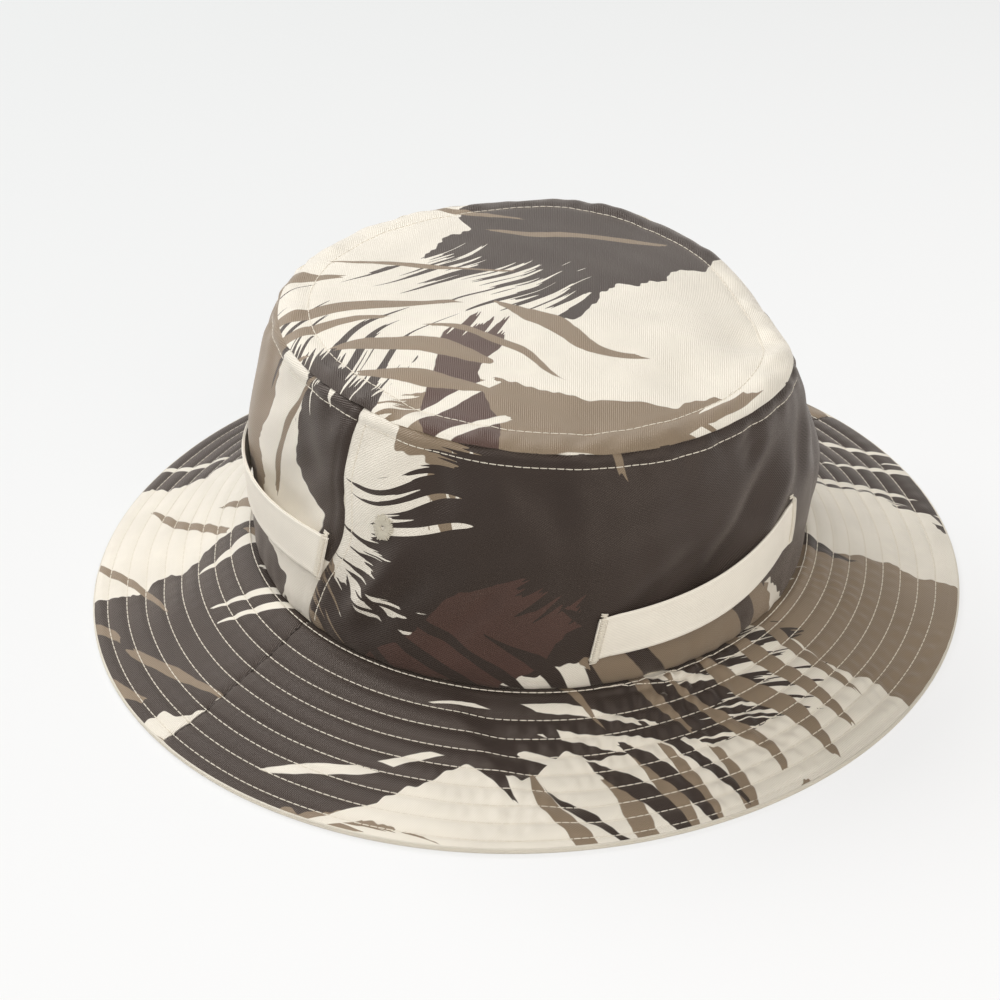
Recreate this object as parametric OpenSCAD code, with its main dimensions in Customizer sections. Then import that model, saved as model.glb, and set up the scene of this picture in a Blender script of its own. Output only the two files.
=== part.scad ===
// Soft bucket hat: top panel, two wall panels, a brim of two cloths over a stiffener,
// inner tapes, webbing loops with their bar tacks, and vent eyelets.
// Millimetres. The rim stands on Z = 0, the front is -Y and +X is the wearer's left.
// Angles run round the crown from +X, so the front is 270 and the side seams are 180 and 0.

/* [Crown] */
// Width of the crown at the brim seam, side to side
seam_w = 192; // [165:1:215]
// Length of the crown at the brim seam, front to back
seam_l = 188; // [165:1:225]
// Width of the crown at the top seam, side to side
top_w = 155; // [140:1:180]
// Length of the crown at the top seam, front to back
top_l = 168; // [140:1:185]
// Height of the wall from the brim seam to the top seam
wall_h = 81; // [70:1:110]
// How far the wall bows outwards between its two seams
wall_bow = 3; // [0:0.5:6]
// Rise of the top panel's middle over its seam
top_rise = 6; // [1:0.5:12]
// Lean of the soft crown as the hat stands, in degrees
lean = 2; // [0:0.5:6]
// Side that the crown leans to, as an angle round the crown
lean_to = 280; // [0:1:359]
// Drift of the side seams round the crown from bottom to top, in degrees
seam_twist = 6; // [0:1:12]

/* [Slump] */
// How far the soft wall bulges out at its back right shoulder
shoulder_bulge = 5; // [0:0.5:8]
// How far the wall bulges out at half height on its front left side
side_bulge = 5.5; // [0:0.5:8]
// How far the top seam is pushed out at the front left
corner_bulge = 4.5; // [0:0.5:8]
// How far the right side seam has slid forwards at half height
seam_slide = 8; // [0:0.5:12]

/* [Brim] */
// Reach of the brim past its seam at the sides, seen from above
brim_side = 58; // [40:0.5:75]
// Reach of the brim past its seam at the front and back, seen from above
brim_front = 53; // [40:0.5:75]
// Height of the brim seam's middle over the surface that the rim stands on
seam_rise = 21.5; // [15:0.5:40]
// Sag of the brim under a straight slope from seam to rim
brim_sag = 3; // [0:0.5:5]

/* [Cloth] */
// Thickness of the twill
twill_t = 0.8; // [0.5:0.1:1.2]
// Thickness of the brim's stiffener
stiffener_t = 0.5; // [0.3:0.1:1]
// Inset of the stiffener from the brim seam and from the rim
stiffener_inset = 3; // [2:0.5:8]
// Room between plies, and between butted edges
ply_gap = 0.2; // [0.1:0.05:0.4]

/* [Inside] */
// Height of the sweatband over the brim seam
band_h = 28; // [15:1:40]
// Thickness of the sweatband
band_t = 0.8; // [0.5:0.1:1.5]
// Width of the tapes over the side seams
tape_w = 12; // [6:1:20]
// Reach of the crown seam tape down the wall and across the top panel
crown_tape_leg = 8; // [4:1:14]
// Thickness of the seam tapes
tape_t = 0.4; // [0.3:0.1:0.8]

/* [Webbing loops] */
// Width of the webbing
loop_w = 16; // [10:1:22]
// Thickness of the webbing
loop_t = 1; // [0.6:0.1:1.6]
// Length of a side loop along the wall
side_loop_len = 103; // [70:1:115]
// Height of the side loops' front ends over the brim seam, to the lower edge
side_loop_rise = 20.5; // [10:0.5:24]
// How much lower the side loops' back ends lie
side_loop_fall = 5; // [0:0.5:8]
// Distance of the side loops' front ends from the side seams
loop_seam_gap = 1; // [0.5:0.5:6]
// Slack of the two side loops
side_slack = 7; // [0.5:0.5:10]
// Length of the front loop along the wall
front_loop_len = 80; // [60:1:100]
// Middle of the front loop, as an angle round the crown
front_loop_turn = 264; // [255:1:285]
// Height of the front loop's right end over the brim seam, to the lower edge
front_loop_rise = 11; // [5:0.5:18]
// How much higher the front loop's left end lies
front_loop_climb = 16; // [0:0.5:20]
// Slack of the front loop, from the wall to the webbing at mid length
front_slack = 3.5; // [0.5:0.5:6]
// Length that is sewn flat at each end of a loop
loop_tab = 6; // [4:0.5:12]

/* [Bar tacks] */
// Width of a bar tack along the loop
tack_w = 2; // [1:0.2:3]
// Thickness of the tack's thread over the webbing
tack_t = 0.6; // [0.4:0.1:1]
// Reach of the tack past each edge of the webbing
tack_over = 1.5; // [0.5:0.5:3]
// Distance of the tack's middle from the loop's end
tack_in = 1.6; // [1.5:0.1:2.5]

/* [Eyelets] */
// Outer diameter of the embroidered eyelet
eyelet_d = 10; // [5:0.5:12]
// Diameter of its hole
eyelet_hole_d = 2; // [1.5:0.1:4]
// Height of the embroidery over the wall
eyelet_t = 0.6; // [0.3:0.1:1.2]
// Height of the eyelet's middle over the brim seam
eyelet_rise = 48; // [38:1:60]
// Distance of the eyelet's middle from the side seam
eyelet_off = 21.5; // [12:0.5:40]

/* [Hidden] */

cream = "#ece6d8";
dark_brown = "#4d403c";
taupe = "#a3947f";
tape_cream = "#d8d0bf";

// Facets: steps round half the hat, up the wall, up the sweatband, across the brim, across the top
// and along a loop
half_steps = 32;
wall_steps = 8;
band_steps = 3;
brim_steps = 6;
top_steps = 7;
loop_steps = 18;

// The side seams, as angles round the crown
right_seam_turn = 180;
left_seam_turn = 0;

// Brim build-up, measured from the middle of the stiffener
ply_in = stiffener_t / 2 + ply_gap;
ply_out = ply_in + twill_t;
// Height of the brim's middle at the rim: its lower corner falls just under the surface, and is flattened
rim_z = 0.8 * ply_out;
// Width of the rim's flat underside
foot_w = 0.7;

// Depths inside the wall's outer face
tape_depth = twill_t + ply_gap;
band_depth = tape_depth + tape_t + ply_gap;

// Mean radius of the wall at the brim seam, which turns lengths along the wall into angles
mean_r = (seam_w + seam_l) / 4;
function arc_angle(length) = length / mean_r * 180 / PI;
seam_gap_angle = arc_angle(ply_gap / 2);

// The three loops: start angle, length, height of the lower edge at the start and at the end, and slack.
// The right loop's front end sits on the seam that has slid forwards.
front_loop = [
    front_loop_turn - arc_angle(front_loop_len) / 2, front_loop_len,
    front_loop_rise, front_loop_rise + front_loop_climb, front_slack
];
right_loop = [
    right_seam_turn + arc_angle(seam_slide / 2 - loop_seam_gap - side_loop_len), side_loop_len,
    side_loop_rise - side_loop_fall, side_loop_rise, side_slack
];
left_loop = [
    left_seam_turn + arc_angle(loop_seam_gap), side_loop_len,
    side_loop_rise, side_loop_rise - side_loop_fall, side_slack
];

// Where the soft wall is pushed out: angle and height share of the middle, spread in both, and how far
bulges = [
    [150, 0.93, 34, 0.34, shoulder_bulge],
    [322, 0.46, 40, 0.28, side_bulge],
    [300, 0.98, 22, 0.34, corner_bulge]
];
// Share of the wall's height under which no bulge starts
bulge_foot = 0.25;
// The slid part of the right side seam: height share of its middle, spread in height, and spread in degrees
slide_at = 0.47;
slide_tall = 0.21;
slide_wide = 9;

function mix(a, b, t) = a + (b - a) * t;
function reversed(list) = [for (i = [len(list) - 1 : -1 : 0]) list[i]];
function unit(v) = v / norm(v);
function arch(t) = 4 * t * (1 - t);
function bell(x, wide) = exp(-pow(x / wide, 2));
function ease(t) = let (c = max(0, min(1, t))) c * c * (3 - 2 * c);
function total(list) = list * [for (x = list) 1];

// The turn from angle b to angle a, at most half a turn either way
function away(a, b) = let (turn = (a - b) % 360) turn > 180 ? turn - 360 : turn < -180 ? turn + 360 : turn;

// How far the bulges push the wall out at angle a and height share t
function bulge(a, t) =
    ease(t / bulge_foot) * total([for (p = bulges) p[4] * bell(away(a, p[0]), p[2]) * bell(t - p[1], p[3])]);

// How far the cloth has slid round the crown at angle a and height share t, in degrees
function slid(a, t) =
    arc_angle(seam_slide) * bell(t - slide_at, slide_tall) * bell(away(a, right_seam_turn), slide_wide);

// A point of the upright crown, leaned over and lifted to its place on the brim
function leaned(p) =
    let (
        u = [cos(lean_to), sin(lean_to)],
        v = [-u.y, u.x],
        along = p.x * u.x + p.y * u.y,
        across = p.x * v.x + p.y * v.y,
        moved = along * cos(lean) + p.z * sin(lean)
    )
    [moved * u.x + across * v.x, moved * u.y + across * v.y,
     seam_rise + p.z * cos(lean) - along * sin(lean)];

// Half size of the wall at height h, between its size at the brim seam and at the top seam
function wall_half(low, high, h) = mix(low, high, h / wall_h) / 2 + wall_bow * arch(h / wall_h);

// Inward tilt of the wall at height h, in degrees from upright
function wall_tilt(h) =
    atan((seam_w + seam_l - top_w - top_l) / 4 / wall_h - 4 * wall_bow * (1 - 2 * h / wall_h) / wall_h);

// A point at angle a round the bulged wall and height h, lifted by d off the wall's outer face.
// The webbing loops lie over the wall here and don't follow its slid seam.
function outer_point(a, h, d) =
    let (
        turn = a + seam_twist * h / wall_h,
        off = d * cos(wall_tilt(h)) + bulge(turn, h / wall_h)
    )
    leaned([
        (wall_half(seam_w, top_w, h) + off) * cos(turn),
        (wall_half(seam_l, top_l, h) + off) * sin(turn),
        h + d * sin(wall_tilt(h))
    ]);

// The same point of the wall's own cloth, which has slid round the crown near the right side seam
function wall_point(a, h, d) = outer_point(a + slid(a, h / wall_h), h, d);

// A point at angle a on the top panel, at share k of the way from its middle to its seam,
// lifted by d off its face
function top_point(a, k, d) =
    let (push = bulge(a, 1) * k * k)
    leaned([
        (k * top_w / 2 + push) * cos(a),
        (k * top_l / 2 + push) * sin(a),
        wall_h + ply_gap + twill_t + top_rise * (1 - k * k) + d
    ]);

// A point of the rim at angle a
function rim_point(a) =
    [(seam_w / 2 + brim_side) * cos(a), (seam_l / 2 + brim_front) * sin(a), rim_z];

// A point at angle a on the brim, at share s of the way from seam to rim,
// lifted by d off the stiffener's middle
function brim_point(a, s, d) =
    let (
        seam = wall_point(a, 0, ply_gap),
        run = rim_point(a) - seam,
        out = [cos(a), sin(a), 0],
        up = unit([-run.z * out.x, -run.z * out.y, run * out]),
        p = seam + s * run + (d - brim_sag * arch(s)) * up
    )
    [p.x, p.y, max(p.z, 0)];

// Length of the brim's slope at angle a, which turns a size along the slope into a share of it
function brim_slope(a) = norm(rim_point(a) - wall_point(a, 0, ply_gap));

// Angles of one half of the hat, short of the side seams by half a butt gap
function half_angles(start) =
    [for (i = [0 : half_steps]) mix(start + seam_gap_angle, start + 180 - seam_gap_angle, i / half_steps)];

// Angles round the whole hat, for pieces that close on themselves
round_angles = [for (i = [0 : 2 * half_steps - 1]) 180 * i / half_steps];

// A closed ply between two faces: a section is the row of outer points, then of inner points
module ply(outer, inner, closed = false) {
    rows = len(outer);
    cols = len(outer[0]);
    ring = 2 * cols;
    last = closed ? rows - 1 : rows - 2;
    points = [for (i = [0 : rows - 1]) each concat(outer[i], reversed(inner[i]))];
    sides = [
        for (i = [0 : last], j = [0 : ring - 1])
            let (
                a = i * ring + j,
                b = i * ring + (j + 1) % ring,
                c = ((i + 1) % rows) * ring + (j + 1) % ring,
                d = ((i + 1) % rows) * ring + j
            )
            each [[a, b, c], [a, c, d]]
    ];
    start_cap = [
        for (j = [0 : cols - 2])
            let (back = ring - 1 - j)
            each [[j, back, back - 1], [j, back - 1, j + 1]]
    ];
    end_base = (rows - 1) * ring;
    end_cap = [for (face = start_cap) [end_base + face[0], end_base + face[2], end_base + face[1]]];
    polyhedron(points, closed ? sides : concat(sides, start_cap, end_cap));
}

// A half of the wall
module wall_panel(start) {
    heights = [for (j = [0 : wall_steps]) wall_h * j / wall_steps];
    angles = half_angles(start);
    ply(
        [for (a = angles) [for (h = heights) wall_point(a, h, 0)]],
        [for (a = angles) [for (h = heights) wall_point(a, h, -twill_t)]]
    );
}

// A half of one brim cloth: side 1 is the upper cloth and side -1 the lower one.
// At the rim each cloth turns in to meet the other at the edge's middle.
module brim_cloth(start, side) {
    angles = half_angles(start);
    function shares(a, inset) = [
        for (j = [0 : brim_steps - 1]) j / (brim_steps - 1) * (1 - inset / brim_slope(a))
    ];
    outer = [
        for (a = angles)
            concat(
                [for (s = shares(a, foot_w)) brim_point(a, s, side * ply_out)],
                [brim_point(a, 1, side * ply_out), brim_point(a, 1, side * ply_gap / 2)]
            )
    ];
    inner = [
        for (a = angles)
            let (turn_in = 1 - twill_t / brim_slope(a))
            concat(
                [for (s = shares(a, 2 * foot_w)) brim_point(a, s, side * ply_in)],
                [brim_point(a, turn_in, side * ply_in), brim_point(a, turn_in, side * ply_gap / 2)]
            )
    ];
    if (side > 0) {
        ply(outer, inner);
    } else {
        ply(inner, outer);
    }
}

// A half of the stiffener between the two brim cloths
module stiffener(start) {
    angles = half_angles(start);
    function share(a, j) =
        let (inset = stiffener_inset / brim_slope(a))
        mix(inset, 1 - inset, j / (brim_steps - 1));
    function face(d) = [
        for (a = angles) [for (j = [0 : brim_steps - 1]) brim_point(a, share(a, j), d)]
    ];
    ply(face(stiffener_t / 2), face(-stiffener_t / 2));
}

// Angle, and height of the lower edge, at share t along a loop
function loop_turn(loop, t) = loop[0] + t * arc_angle(loop[1]);
function loop_low(loop, t) = mix(loop[2], loop[3], t);

// A webbing loop, sewn flat at both ends and slack between
module webbing(loop) {
    tab = loop_tab / loop[1];
    function lift(t) = loop[4] * sin(180 * max(0, min(1, (t - tab) / (1 - 2 * tab))));
    function face(d) = [
        for (i = [0 : loop_steps])
            let (t = i / loop_steps)
            [
                for (across = [0, loop_w / 2, loop_w])
                    outer_point(loop_turn(loop, t), loop_low(loop, t) + across, ply_gap + lift(t) + d)
            ]
    ];
    color(cream) ply(face(loop_t), face(0));
}

// A bar tack over a loop's sewn end, centred at share t along the loop
module tack(loop, t) {
    depth = ply_gap + loop_t + ply_gap;
    function face(d) = [
        for (aside = [-tack_w / 2, 0, tack_w / 2])
            [
                for (across = [-tack_over, loop_w / 2, loop_w + tack_over])
                    outer_point(loop_turn(loop, t) + arc_angle(aside), loop_low(loop, t) + across, d)
            ]
    ];
    color(cream) ply(face(depth + tack_t), face(depth));
}

// The tack near the start of a loop, and the one near its end
module start_tack(loop) tack(loop, tack_in / loop[1]);
module end_tack(loop) tack(loop, 1 - tack_in / loop[1]);

// Puts a shape on the wall at angle a, at the eyelets' height, with its +Z along the wall's normal
module on_wall(a) {
    foot = wall_point(a, eyelet_rise, 0);
    n = unit(wall_point(a, eyelet_rise, 1) - foot);
    translate(foot) rotate([0, acos(n.z), atan2(n.y, n.x)]) children();
}

// The angles of the two eyelets, both in the front panel
eyelet_right_angle = right_seam_turn + arc_angle(eyelet_off);
eyelet_left_angle = left_seam_turn - arc_angle(eyelet_off);

// A ring of embroidery round a vent hole
module eyelet(a) {
    color(cream) on_wall(a) translate([0, 0, ply_gap]) rotate_extrude()
        translate([eyelet_hole_d / 2, 0]) square([(eyelet_d - eyelet_hole_d) / 2, eyelet_t]);
}

// The hole that an eyelet surrounds
module vent_hole(a) {
    on_wall(a) translate([0, 0, -2 * twill_t]) cylinder(d = eyelet_hole_d, h = 4 * twill_t);
}

module crown_top() {
    shares = [for (j = [0 : top_steps - 1]) 1 - j / top_steps];
    function face(d) = [for (k = shares) [for (a = round_angles) top_point(a, k, d)]];
    color(cream) disc(face(0), face(-twill_t), top_point(0, 0, 0), top_point(0, 0, -twill_t));
}

// A closed disc of two faces, each a list of rings from the rim inwards and a middle point
module disc(upper, lower, upper_mid, lower_mid) {
    n = len(upper[0]);
    rings = len(upper);
    points = concat([for (r = upper) each r], [for (r = lower) each r], [upper_mid, lower_mid]);
    mid = 2 * rings * n;
    function bands(base) = [
        for (i = [0 : rings - 2], j = [0 : n - 1])
            let (
                a = base + i * n + j,
                b = base + i * n + (j + 1) % n
            )
            each [[a, a + n, b + n], [a, b + n, b]]
    ];
    function fan(base, tip) = [for (j = [0 : n - 1]) [base + j, tip, base + (j + 1) % n]];
    function turned(faces) = [for (f = faces) [f[0], f[2], f[1]]];
    low = rings * n;
    edge = [
        for (j = [0 : n - 1])
            let (k = (j + 1) % n)
            each [[j, k, low + k], [j, low + k, low + j]]
    ];
    polyhedron(points, concat(
        bands(0), fan((rings - 1) * n, mid),
        turned(bands(low)), turned(fan(low + (rings - 1) * n, mid + 1)),
        edge
    ));
}

module wall_front() {
    color(dark_brown) difference() {
        wall_panel(right_seam_turn);
        vent_hole(eyelet_right_angle);
        vent_hole(eyelet_left_angle);
    }
}

module wall_back() color(taupe) wall_panel(0);

module brim_top_front() color(dark_brown) brim_cloth(right_seam_turn, 1);
module brim_top_back() color(taupe) brim_cloth(0, 1);
module brim_under_front() color(cream) brim_cloth(right_seam_turn, -1);
module brim_under_back() color(cream) brim_cloth(0, -1);
module brim_stiffener_front() color("white") stiffener(right_seam_turn);
module brim_stiffener_back() color("white") stiffener(0);

module sweatband() {
    heights = [for (j = [0 : band_steps]) band_h * j / band_steps];
    function face(d) = [for (a = round_angles) [for (h = heights) wall_point(a, h, d)]];
    color(tape_cream) ply(face(-band_depth), face(-band_depth - band_t), closed = true);
}

module crown_seam_tape() {
    low = wall_h - crown_tape_leg;
    k = 1 - crown_tape_leg / (top_w / 2);
    function face(d, drop) = [
        for (a = round_angles)
            [
                wall_point(a, low, -d),
                wall_point(a, wall_h - drop, -d),
                top_point(a + seam_twist, k, -d)
            ]
    ];
    color(tape_cream) ply(face(tape_depth, 0), face(tape_depth + tape_t, tape_t), closed = true);
}

// A tape over the inside of a side seam, from the brim seam up to the crown seam tape
module side_seam_tape(a) {
    high = wall_h - crown_tape_leg - 2 * ply_gap;
    heights = [for (j = [0 : wall_steps]) high * j / wall_steps];
    function face(d) = [
        for (i = [-2 : 2])
            [for (h = heights) wall_point(a + i * arc_angle(tape_w / 4), h, d)]
    ];
    color(tape_cream) ply(face(-tape_depth), face(-tape_depth - tape_t));
}

module side_seam_tape_right() side_seam_tape(right_seam_turn);
module side_seam_tape_left() side_seam_tape(left_seam_turn);

module loop_front() webbing(front_loop);
module loop_right() webbing(right_loop);
module loop_left() webbing(left_loop);

module tack_front_right() start_tack(front_loop);
module tack_front_left() end_tack(front_loop);
module tack_right_back() start_tack(right_loop);
module tack_right_front() end_tack(right_loop);
module tack_left_front() start_tack(left_loop);
module tack_left_back() end_tack(left_loop);

module eyelet_right() eyelet(eyelet_right_angle);
module eyelet_left() eyelet(eyelet_left_angle);

crown_top();
wall_front();
wall_back();
brim_top_front();
brim_top_back();
brim_under_front();
brim_under_back();
brim_stiffener_front();
brim_stiffener_back();
sweatband();
crown_seam_tape();
side_seam_tape_right();
side_seam_tape_left();
loop_front();
loop_right();
loop_left();
tack_front_right();
tack_front_left();
tack_right_front();
tack_right_back();
tack_left_front();
tack_left_back();
eyelet_right();
eyelet_left();
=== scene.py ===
"""Dresses the soft bucket hat: cloth panels with folds, stitch rows, webbing loops, tacks and eyelets."""

import math
from collections import namedtuple

import bpy
import numpy as np
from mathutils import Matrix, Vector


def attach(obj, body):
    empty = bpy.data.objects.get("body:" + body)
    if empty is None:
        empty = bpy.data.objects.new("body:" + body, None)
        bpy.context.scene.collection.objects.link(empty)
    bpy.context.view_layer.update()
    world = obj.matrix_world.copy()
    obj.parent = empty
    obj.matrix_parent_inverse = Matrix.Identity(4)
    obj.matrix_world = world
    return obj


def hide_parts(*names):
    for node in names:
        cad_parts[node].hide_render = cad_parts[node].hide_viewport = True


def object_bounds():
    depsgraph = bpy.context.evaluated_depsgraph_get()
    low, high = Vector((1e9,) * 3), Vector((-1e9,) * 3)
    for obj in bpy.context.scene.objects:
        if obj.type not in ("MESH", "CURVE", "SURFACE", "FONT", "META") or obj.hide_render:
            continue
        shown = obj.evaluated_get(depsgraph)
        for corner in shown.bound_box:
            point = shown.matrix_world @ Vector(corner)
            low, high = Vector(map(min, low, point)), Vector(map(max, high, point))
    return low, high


bl_info = {
    "name": "Bucket hat",
    "version": (1, 0, 0),
    "blender": (4, 5, 0),
    "location": "3D View > Sidebar > Hat",
    "description": "Cloth, stitching and trim of a soft bucket hat",
    "category": "Object",
}

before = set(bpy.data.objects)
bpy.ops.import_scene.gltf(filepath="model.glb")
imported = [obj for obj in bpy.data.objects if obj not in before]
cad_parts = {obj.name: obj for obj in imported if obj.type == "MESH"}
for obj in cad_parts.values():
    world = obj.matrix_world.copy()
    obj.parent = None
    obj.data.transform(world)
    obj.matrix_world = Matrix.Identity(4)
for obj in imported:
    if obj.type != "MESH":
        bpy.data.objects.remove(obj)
CAD_LOW, CAD_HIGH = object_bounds()

BODY = "root"
CLOTH_MAP = "cloth"
MM = 0.001
TURN = 2 * math.pi
RIGHT_SEAM = math.pi
LEFT_SEAM = 2 * math.pi
# The brim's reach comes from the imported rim
RIM_HALF = (CAD_HIGH - CAD_LOW) / 2


def length(name, description, millimetres):
    """A size property, given in millimetres and held in metres."""
    return bpy.props.FloatProperty(
        name=name, description=description, default=millimetres * MM, unit="LENGTH", precision=5
    )


def angle(name, description, degrees):
    """An angle property, given in degrees."""
    return bpy.props.FloatProperty(
        name=name, description=description, default=math.radians(degrees), unit="ROTATION"
    )


def colour(name, description, red, green, blue):
    """A colour property, in linear light."""
    return bpy.props.FloatVectorProperty(
        name=name, description=description, default=(red, green, blue), subtype="COLOR", min=0, max=1
    )


class HatSizes(bpy.types.PropertyGroup):
    """Sizes of the hat's pieces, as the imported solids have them."""

    seam_w: length("Crown width", "Width of the crown at the brim seam", 192)
    seam_l: length("Crown length", "Length of the crown at the brim seam", 188)
    top_w: length("Top width", "Width of the crown at the top seam", 155)
    top_l: length("Top length", "Length of the crown at the top seam", 168)
    wall_h: length("Wall height", "Height of the wall between its two seams", 81)
    wall_bow: length("Wall bow", "How far the wall bows outwards", 3)
    top_rise: length("Top rise", "Rise of the top panel's middle over its seam", 6)
    lean: angle("Lean", "Lean of the soft crown as the hat stands", 2)
    lean_to: angle("Lean side", "Side that the crown leans to", 280)
    seam_twist: angle("Seam drift", "Drift of the side seams round the crown from bottom to top", 6)
    brim_side: length("Brim side", "Reach of the brim at the sides", RIM_HALF.x / MM - 96)
    brim_front: length("Brim front", "Reach of the brim at the front and back", RIM_HALF.y / MM - 94)
    seam_rise: length("Brim seam height", "Height of the brim seam's middle", 21.5)
    brim_sag: length("Brim sag", "Sag of the brim under a straight slope", 3)
    twill_t: length("Twill", "Thickness of the twill", 0.8)
    stiffener_t: length("Stiffener", "Thickness of the brim's stiffener", 0.5)
    stiffener_inset: length("Stiffener inset", "Inset of the stiffener from seam and rim", 3)
    ply_gap: length("Ply gap", "Room between plies", 0.2)
    band_h: length("Sweatband height", "Height of the sweatband", 28)
    band_t: length("Sweatband", "Thickness of the sweatband", 0.8)
    tape_w: length("Seam tape width", "Width of the tapes over the side seams", 12)
    crown_tape_leg: length("Crown tape leg", "Reach of the crown seam tape on wall and top", 8)
    tape_t: length("Seam tape", "Thickness of the seam tapes", 0.4)
    loop_w: length("Webbing width", "Width of the webbing", 16)
    loop_t: length("Webbing", "Thickness of the webbing", 1)
    loop_len: length("Side loop length", "Length of a side loop along the wall", 103)
    front_len: length("Front loop length", "Length of the front loop along the wall", 80)
    front_rise: length("Front loop foot", "Height of the front loop's lower end over the brim seam", 11)
    front_climb: length("Front loop climb", "How much higher the front loop's other end lies", 16)
    side_rise: length("Side loop height", "Height of the side loops' front ends over the brim seam", 20.5)
    side_fall: length("Side loop fall", "How much lower the side loops' back ends lie", 5)
    front_slack: length("Front slack", "Slack of the front loop", 3.4)
    side_slack: length("Side slack", "Slack of the side loops", 1.8)
    loop_tab: length("Loop tab", "Length sewn flat at each end of a loop", 6)
    tack_w: length("Tack width", "Width of a bar tack", 2.6)
    tack_over: length("Tack reach", "Reach of a tack past the webbing", 1.5)
    tack_in: length("Tack inset", "Distance of a tack from the loop's end", 1.6)
    eyelet_d: length("Eyelet", "Outer diameter of an embroidered eyelet", 10)
    eyelet_hole_d: length("Eyelet hole", "Diameter of an eyelet's hole", 2)
    eyelet_rise: length("Eyelet rise", "Height of the eyelets over the brim seam", 48)
    eyelet_off: length("Eyelet offset", "Distance of an eyelet from the side seam", 21.5)


class HatSewing(bpy.types.PropertyGroup):
    """Sizes of the stitching."""

    stitch: length("Stitch", "Length of one stitch with its gap", 2.6)
    stitch_gap: length("Stitch gap", "Gap between two stitches", 0.05)
    thread_r: length("Thread", "Radius of the sewing thread", 0.20)
    edge_row: length("Edge row", "Distance of the brim's innermost stitch row from its seam", 1.3)
    spiral_start: length("First turn", "Distance of the spiral row's first turn from the brim seam", 4.4)
    spiral_pitch: length("Row pitch", "Distance between the turns of the brim's spiral row", 6.5)
    spiral_turns: bpy.props.FloatProperty(
        name="Turns", description="Turns of the brim's spiral row", default=8.06
    )
    spiral_from: angle("Row start", "Where the spiral row starts, as an angle round the brim", 243)
    high_row: length("High row", "Drop of the wall's upper stitch row below the top seam", 4.6)
    top_row: length("Top row", "Distance of the top panel's row from its seam", 9)
    side_row: length("Side row", "Distance of the side seam's row from the seam", 4)


class HatColours(bpy.types.PropertyGroup):
    """Colours of cloth and thread."""

    cream: colour("Cream", "Ground of the print", 0.830, 0.788, 0.698)
    brown: colour("Dark brown", "Broad strokes of the print", 0.0190, 0.0112, 0.0088)
    taupe: colour("Taupe", "Lighter strokes of the print", 0.240, 0.182, 0.124)
    rust: colour("Red brown", "Small strokes of the print", 0.060, 0.028, 0.022)
    facing: colour("Facing", "Plain cloth under the brim", 0.76, 0.72, 0.63)
    webbing: colour("Webbing", "Cotton webbing of the loops", 0.925, 0.880, 0.785)
    tape: colour("Tape", "Inner tapes and sweatband", 0.68, 0.635, 0.54)
    thread: colour("Thread", "Sewing thread", 0.80, 0.750, 0.650)
    embroidery: colour("Embroidery", "Thread of the eyelets", 0.62, 0.585, 0.49)
    dark_thread: colour("Dark thread", "Thread of the brim's side seams", 0.030, 0.024, 0.023)


# Where the soft crown is pushed out or in: angle and height share of its middle, its spread in both, and
# how far in millimetres
Press = namedtuple("Press", "angle height wide tall push")
PRESSES = (
    Press(150, 0.93, 34, 0.34, 5.2),
    Press(105, 0.97, 34, 0.35, 2.4),
    Press(138, 0.48, 44, 0.24, 3.4),
    Press(322, 0.46, 40, 0.28, 5.6),
    Press(300, 0.98, 22, 0.34, 4.4),
    Press(331, 0.98, 20, 0.35, -2.6),
    Press(250, 0.55, 40, 0.30, 1.2),
    Press(203, 0.80, 22, 0.25, 1.5),
)

# Where the top seam rides higher or lower than even: angle, spread, and how far in millimetres
Ride = namedtuple("Ride", "angle wide push")
SEAM_RIDES = (
    Ride(330, 22, -3.2),
    Ride(30, 22, 2.8),
    Ride(62, 22, -1.3),
    Ride(105, 34, -2.2),
    Ride(262, 16, -0.8),
)

# Where the top panel is pressed or lifted: angle, share of its radius, spread in metres, and how far in
# millimetres
Dent = namedtuple("Dent", "angle share wide push")
TOP_DENTS = (
    Dent(196, 0.86, 0.010, -1.6),
    Dent(280, 0.78, 0.014, -1.8),
    Dent(242, 0.84, 0.012, -0.9),
    Dent(310, 0.86, 0.010, -2.6),
    Dent(304, 0.98, 0.008, 1.8),
    Dent(100, 0.55, 0.035, -2.0),
    Dent(20, 0.70, 0.030, -1.2),
)

# Soft valleys in the wall, or ridges where the depth is negative: angle and height share at both ends, half
# width in metres, and depth in millimetres
Fold = namedtuple("Fold", "angle_a height_a angle_b height_b wide depth")
WALL_FOLDS = (
    Fold(261, 0.38, 281, 0.74, 0.0060, 3.2),
    Fold(270, 0.36, 289, 0.66, 0.0045, -1.7),
    Fold(273, 0.93, 276, 0.82, 0.0055, 1.8),
    Fold(286, 0.42, 296, 0.80, 0.0050, 1.3),
    Fold(294, 0.52, 303, 0.84, 0.0045, -0.8),
    Fold(301, 0.30, 309, 0.85, 0.0045, 0.9),
    Fold(246, 0.36, 262, 0.56, 0.0065, 2.3),
    Fold(211, 0.16, 219, 0.46, 0.0050, 2.6),
    Fold(190, 0.15, 199, 0.52, 0.0045, -2.2),
    Fold(195, 0.12, 205, 0.46, 0.0045, 1.7),
    Fold(220, 0.92, 229, 0.70, 0.0070, 1.7),
    Fold(199, 0.92, 205, 0.74, 0.0050, 1.1),
    Fold(172, 0.66, 160, 0.90, 0.0060, 1.2),
    Fold(20, 0.45, 28, 0.84, 0.0070, 1.6),
    Fold(64, 0.30, 56, 0.76, 0.0065, 1.6),
    Fold(82, 0.50, 92, 0.92, 0.0070, 1.3),
    Fold(112, 0.18, 104, 0.60, 0.0060, 1.4),
)

# Where the wall sinks in behind the side loops
WALL_DENTS = (
    Press(165, 0.44, 11, 0.20, -5.0),
    Press(15, 0.44, 11, 0.20, -4.0),
)

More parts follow.
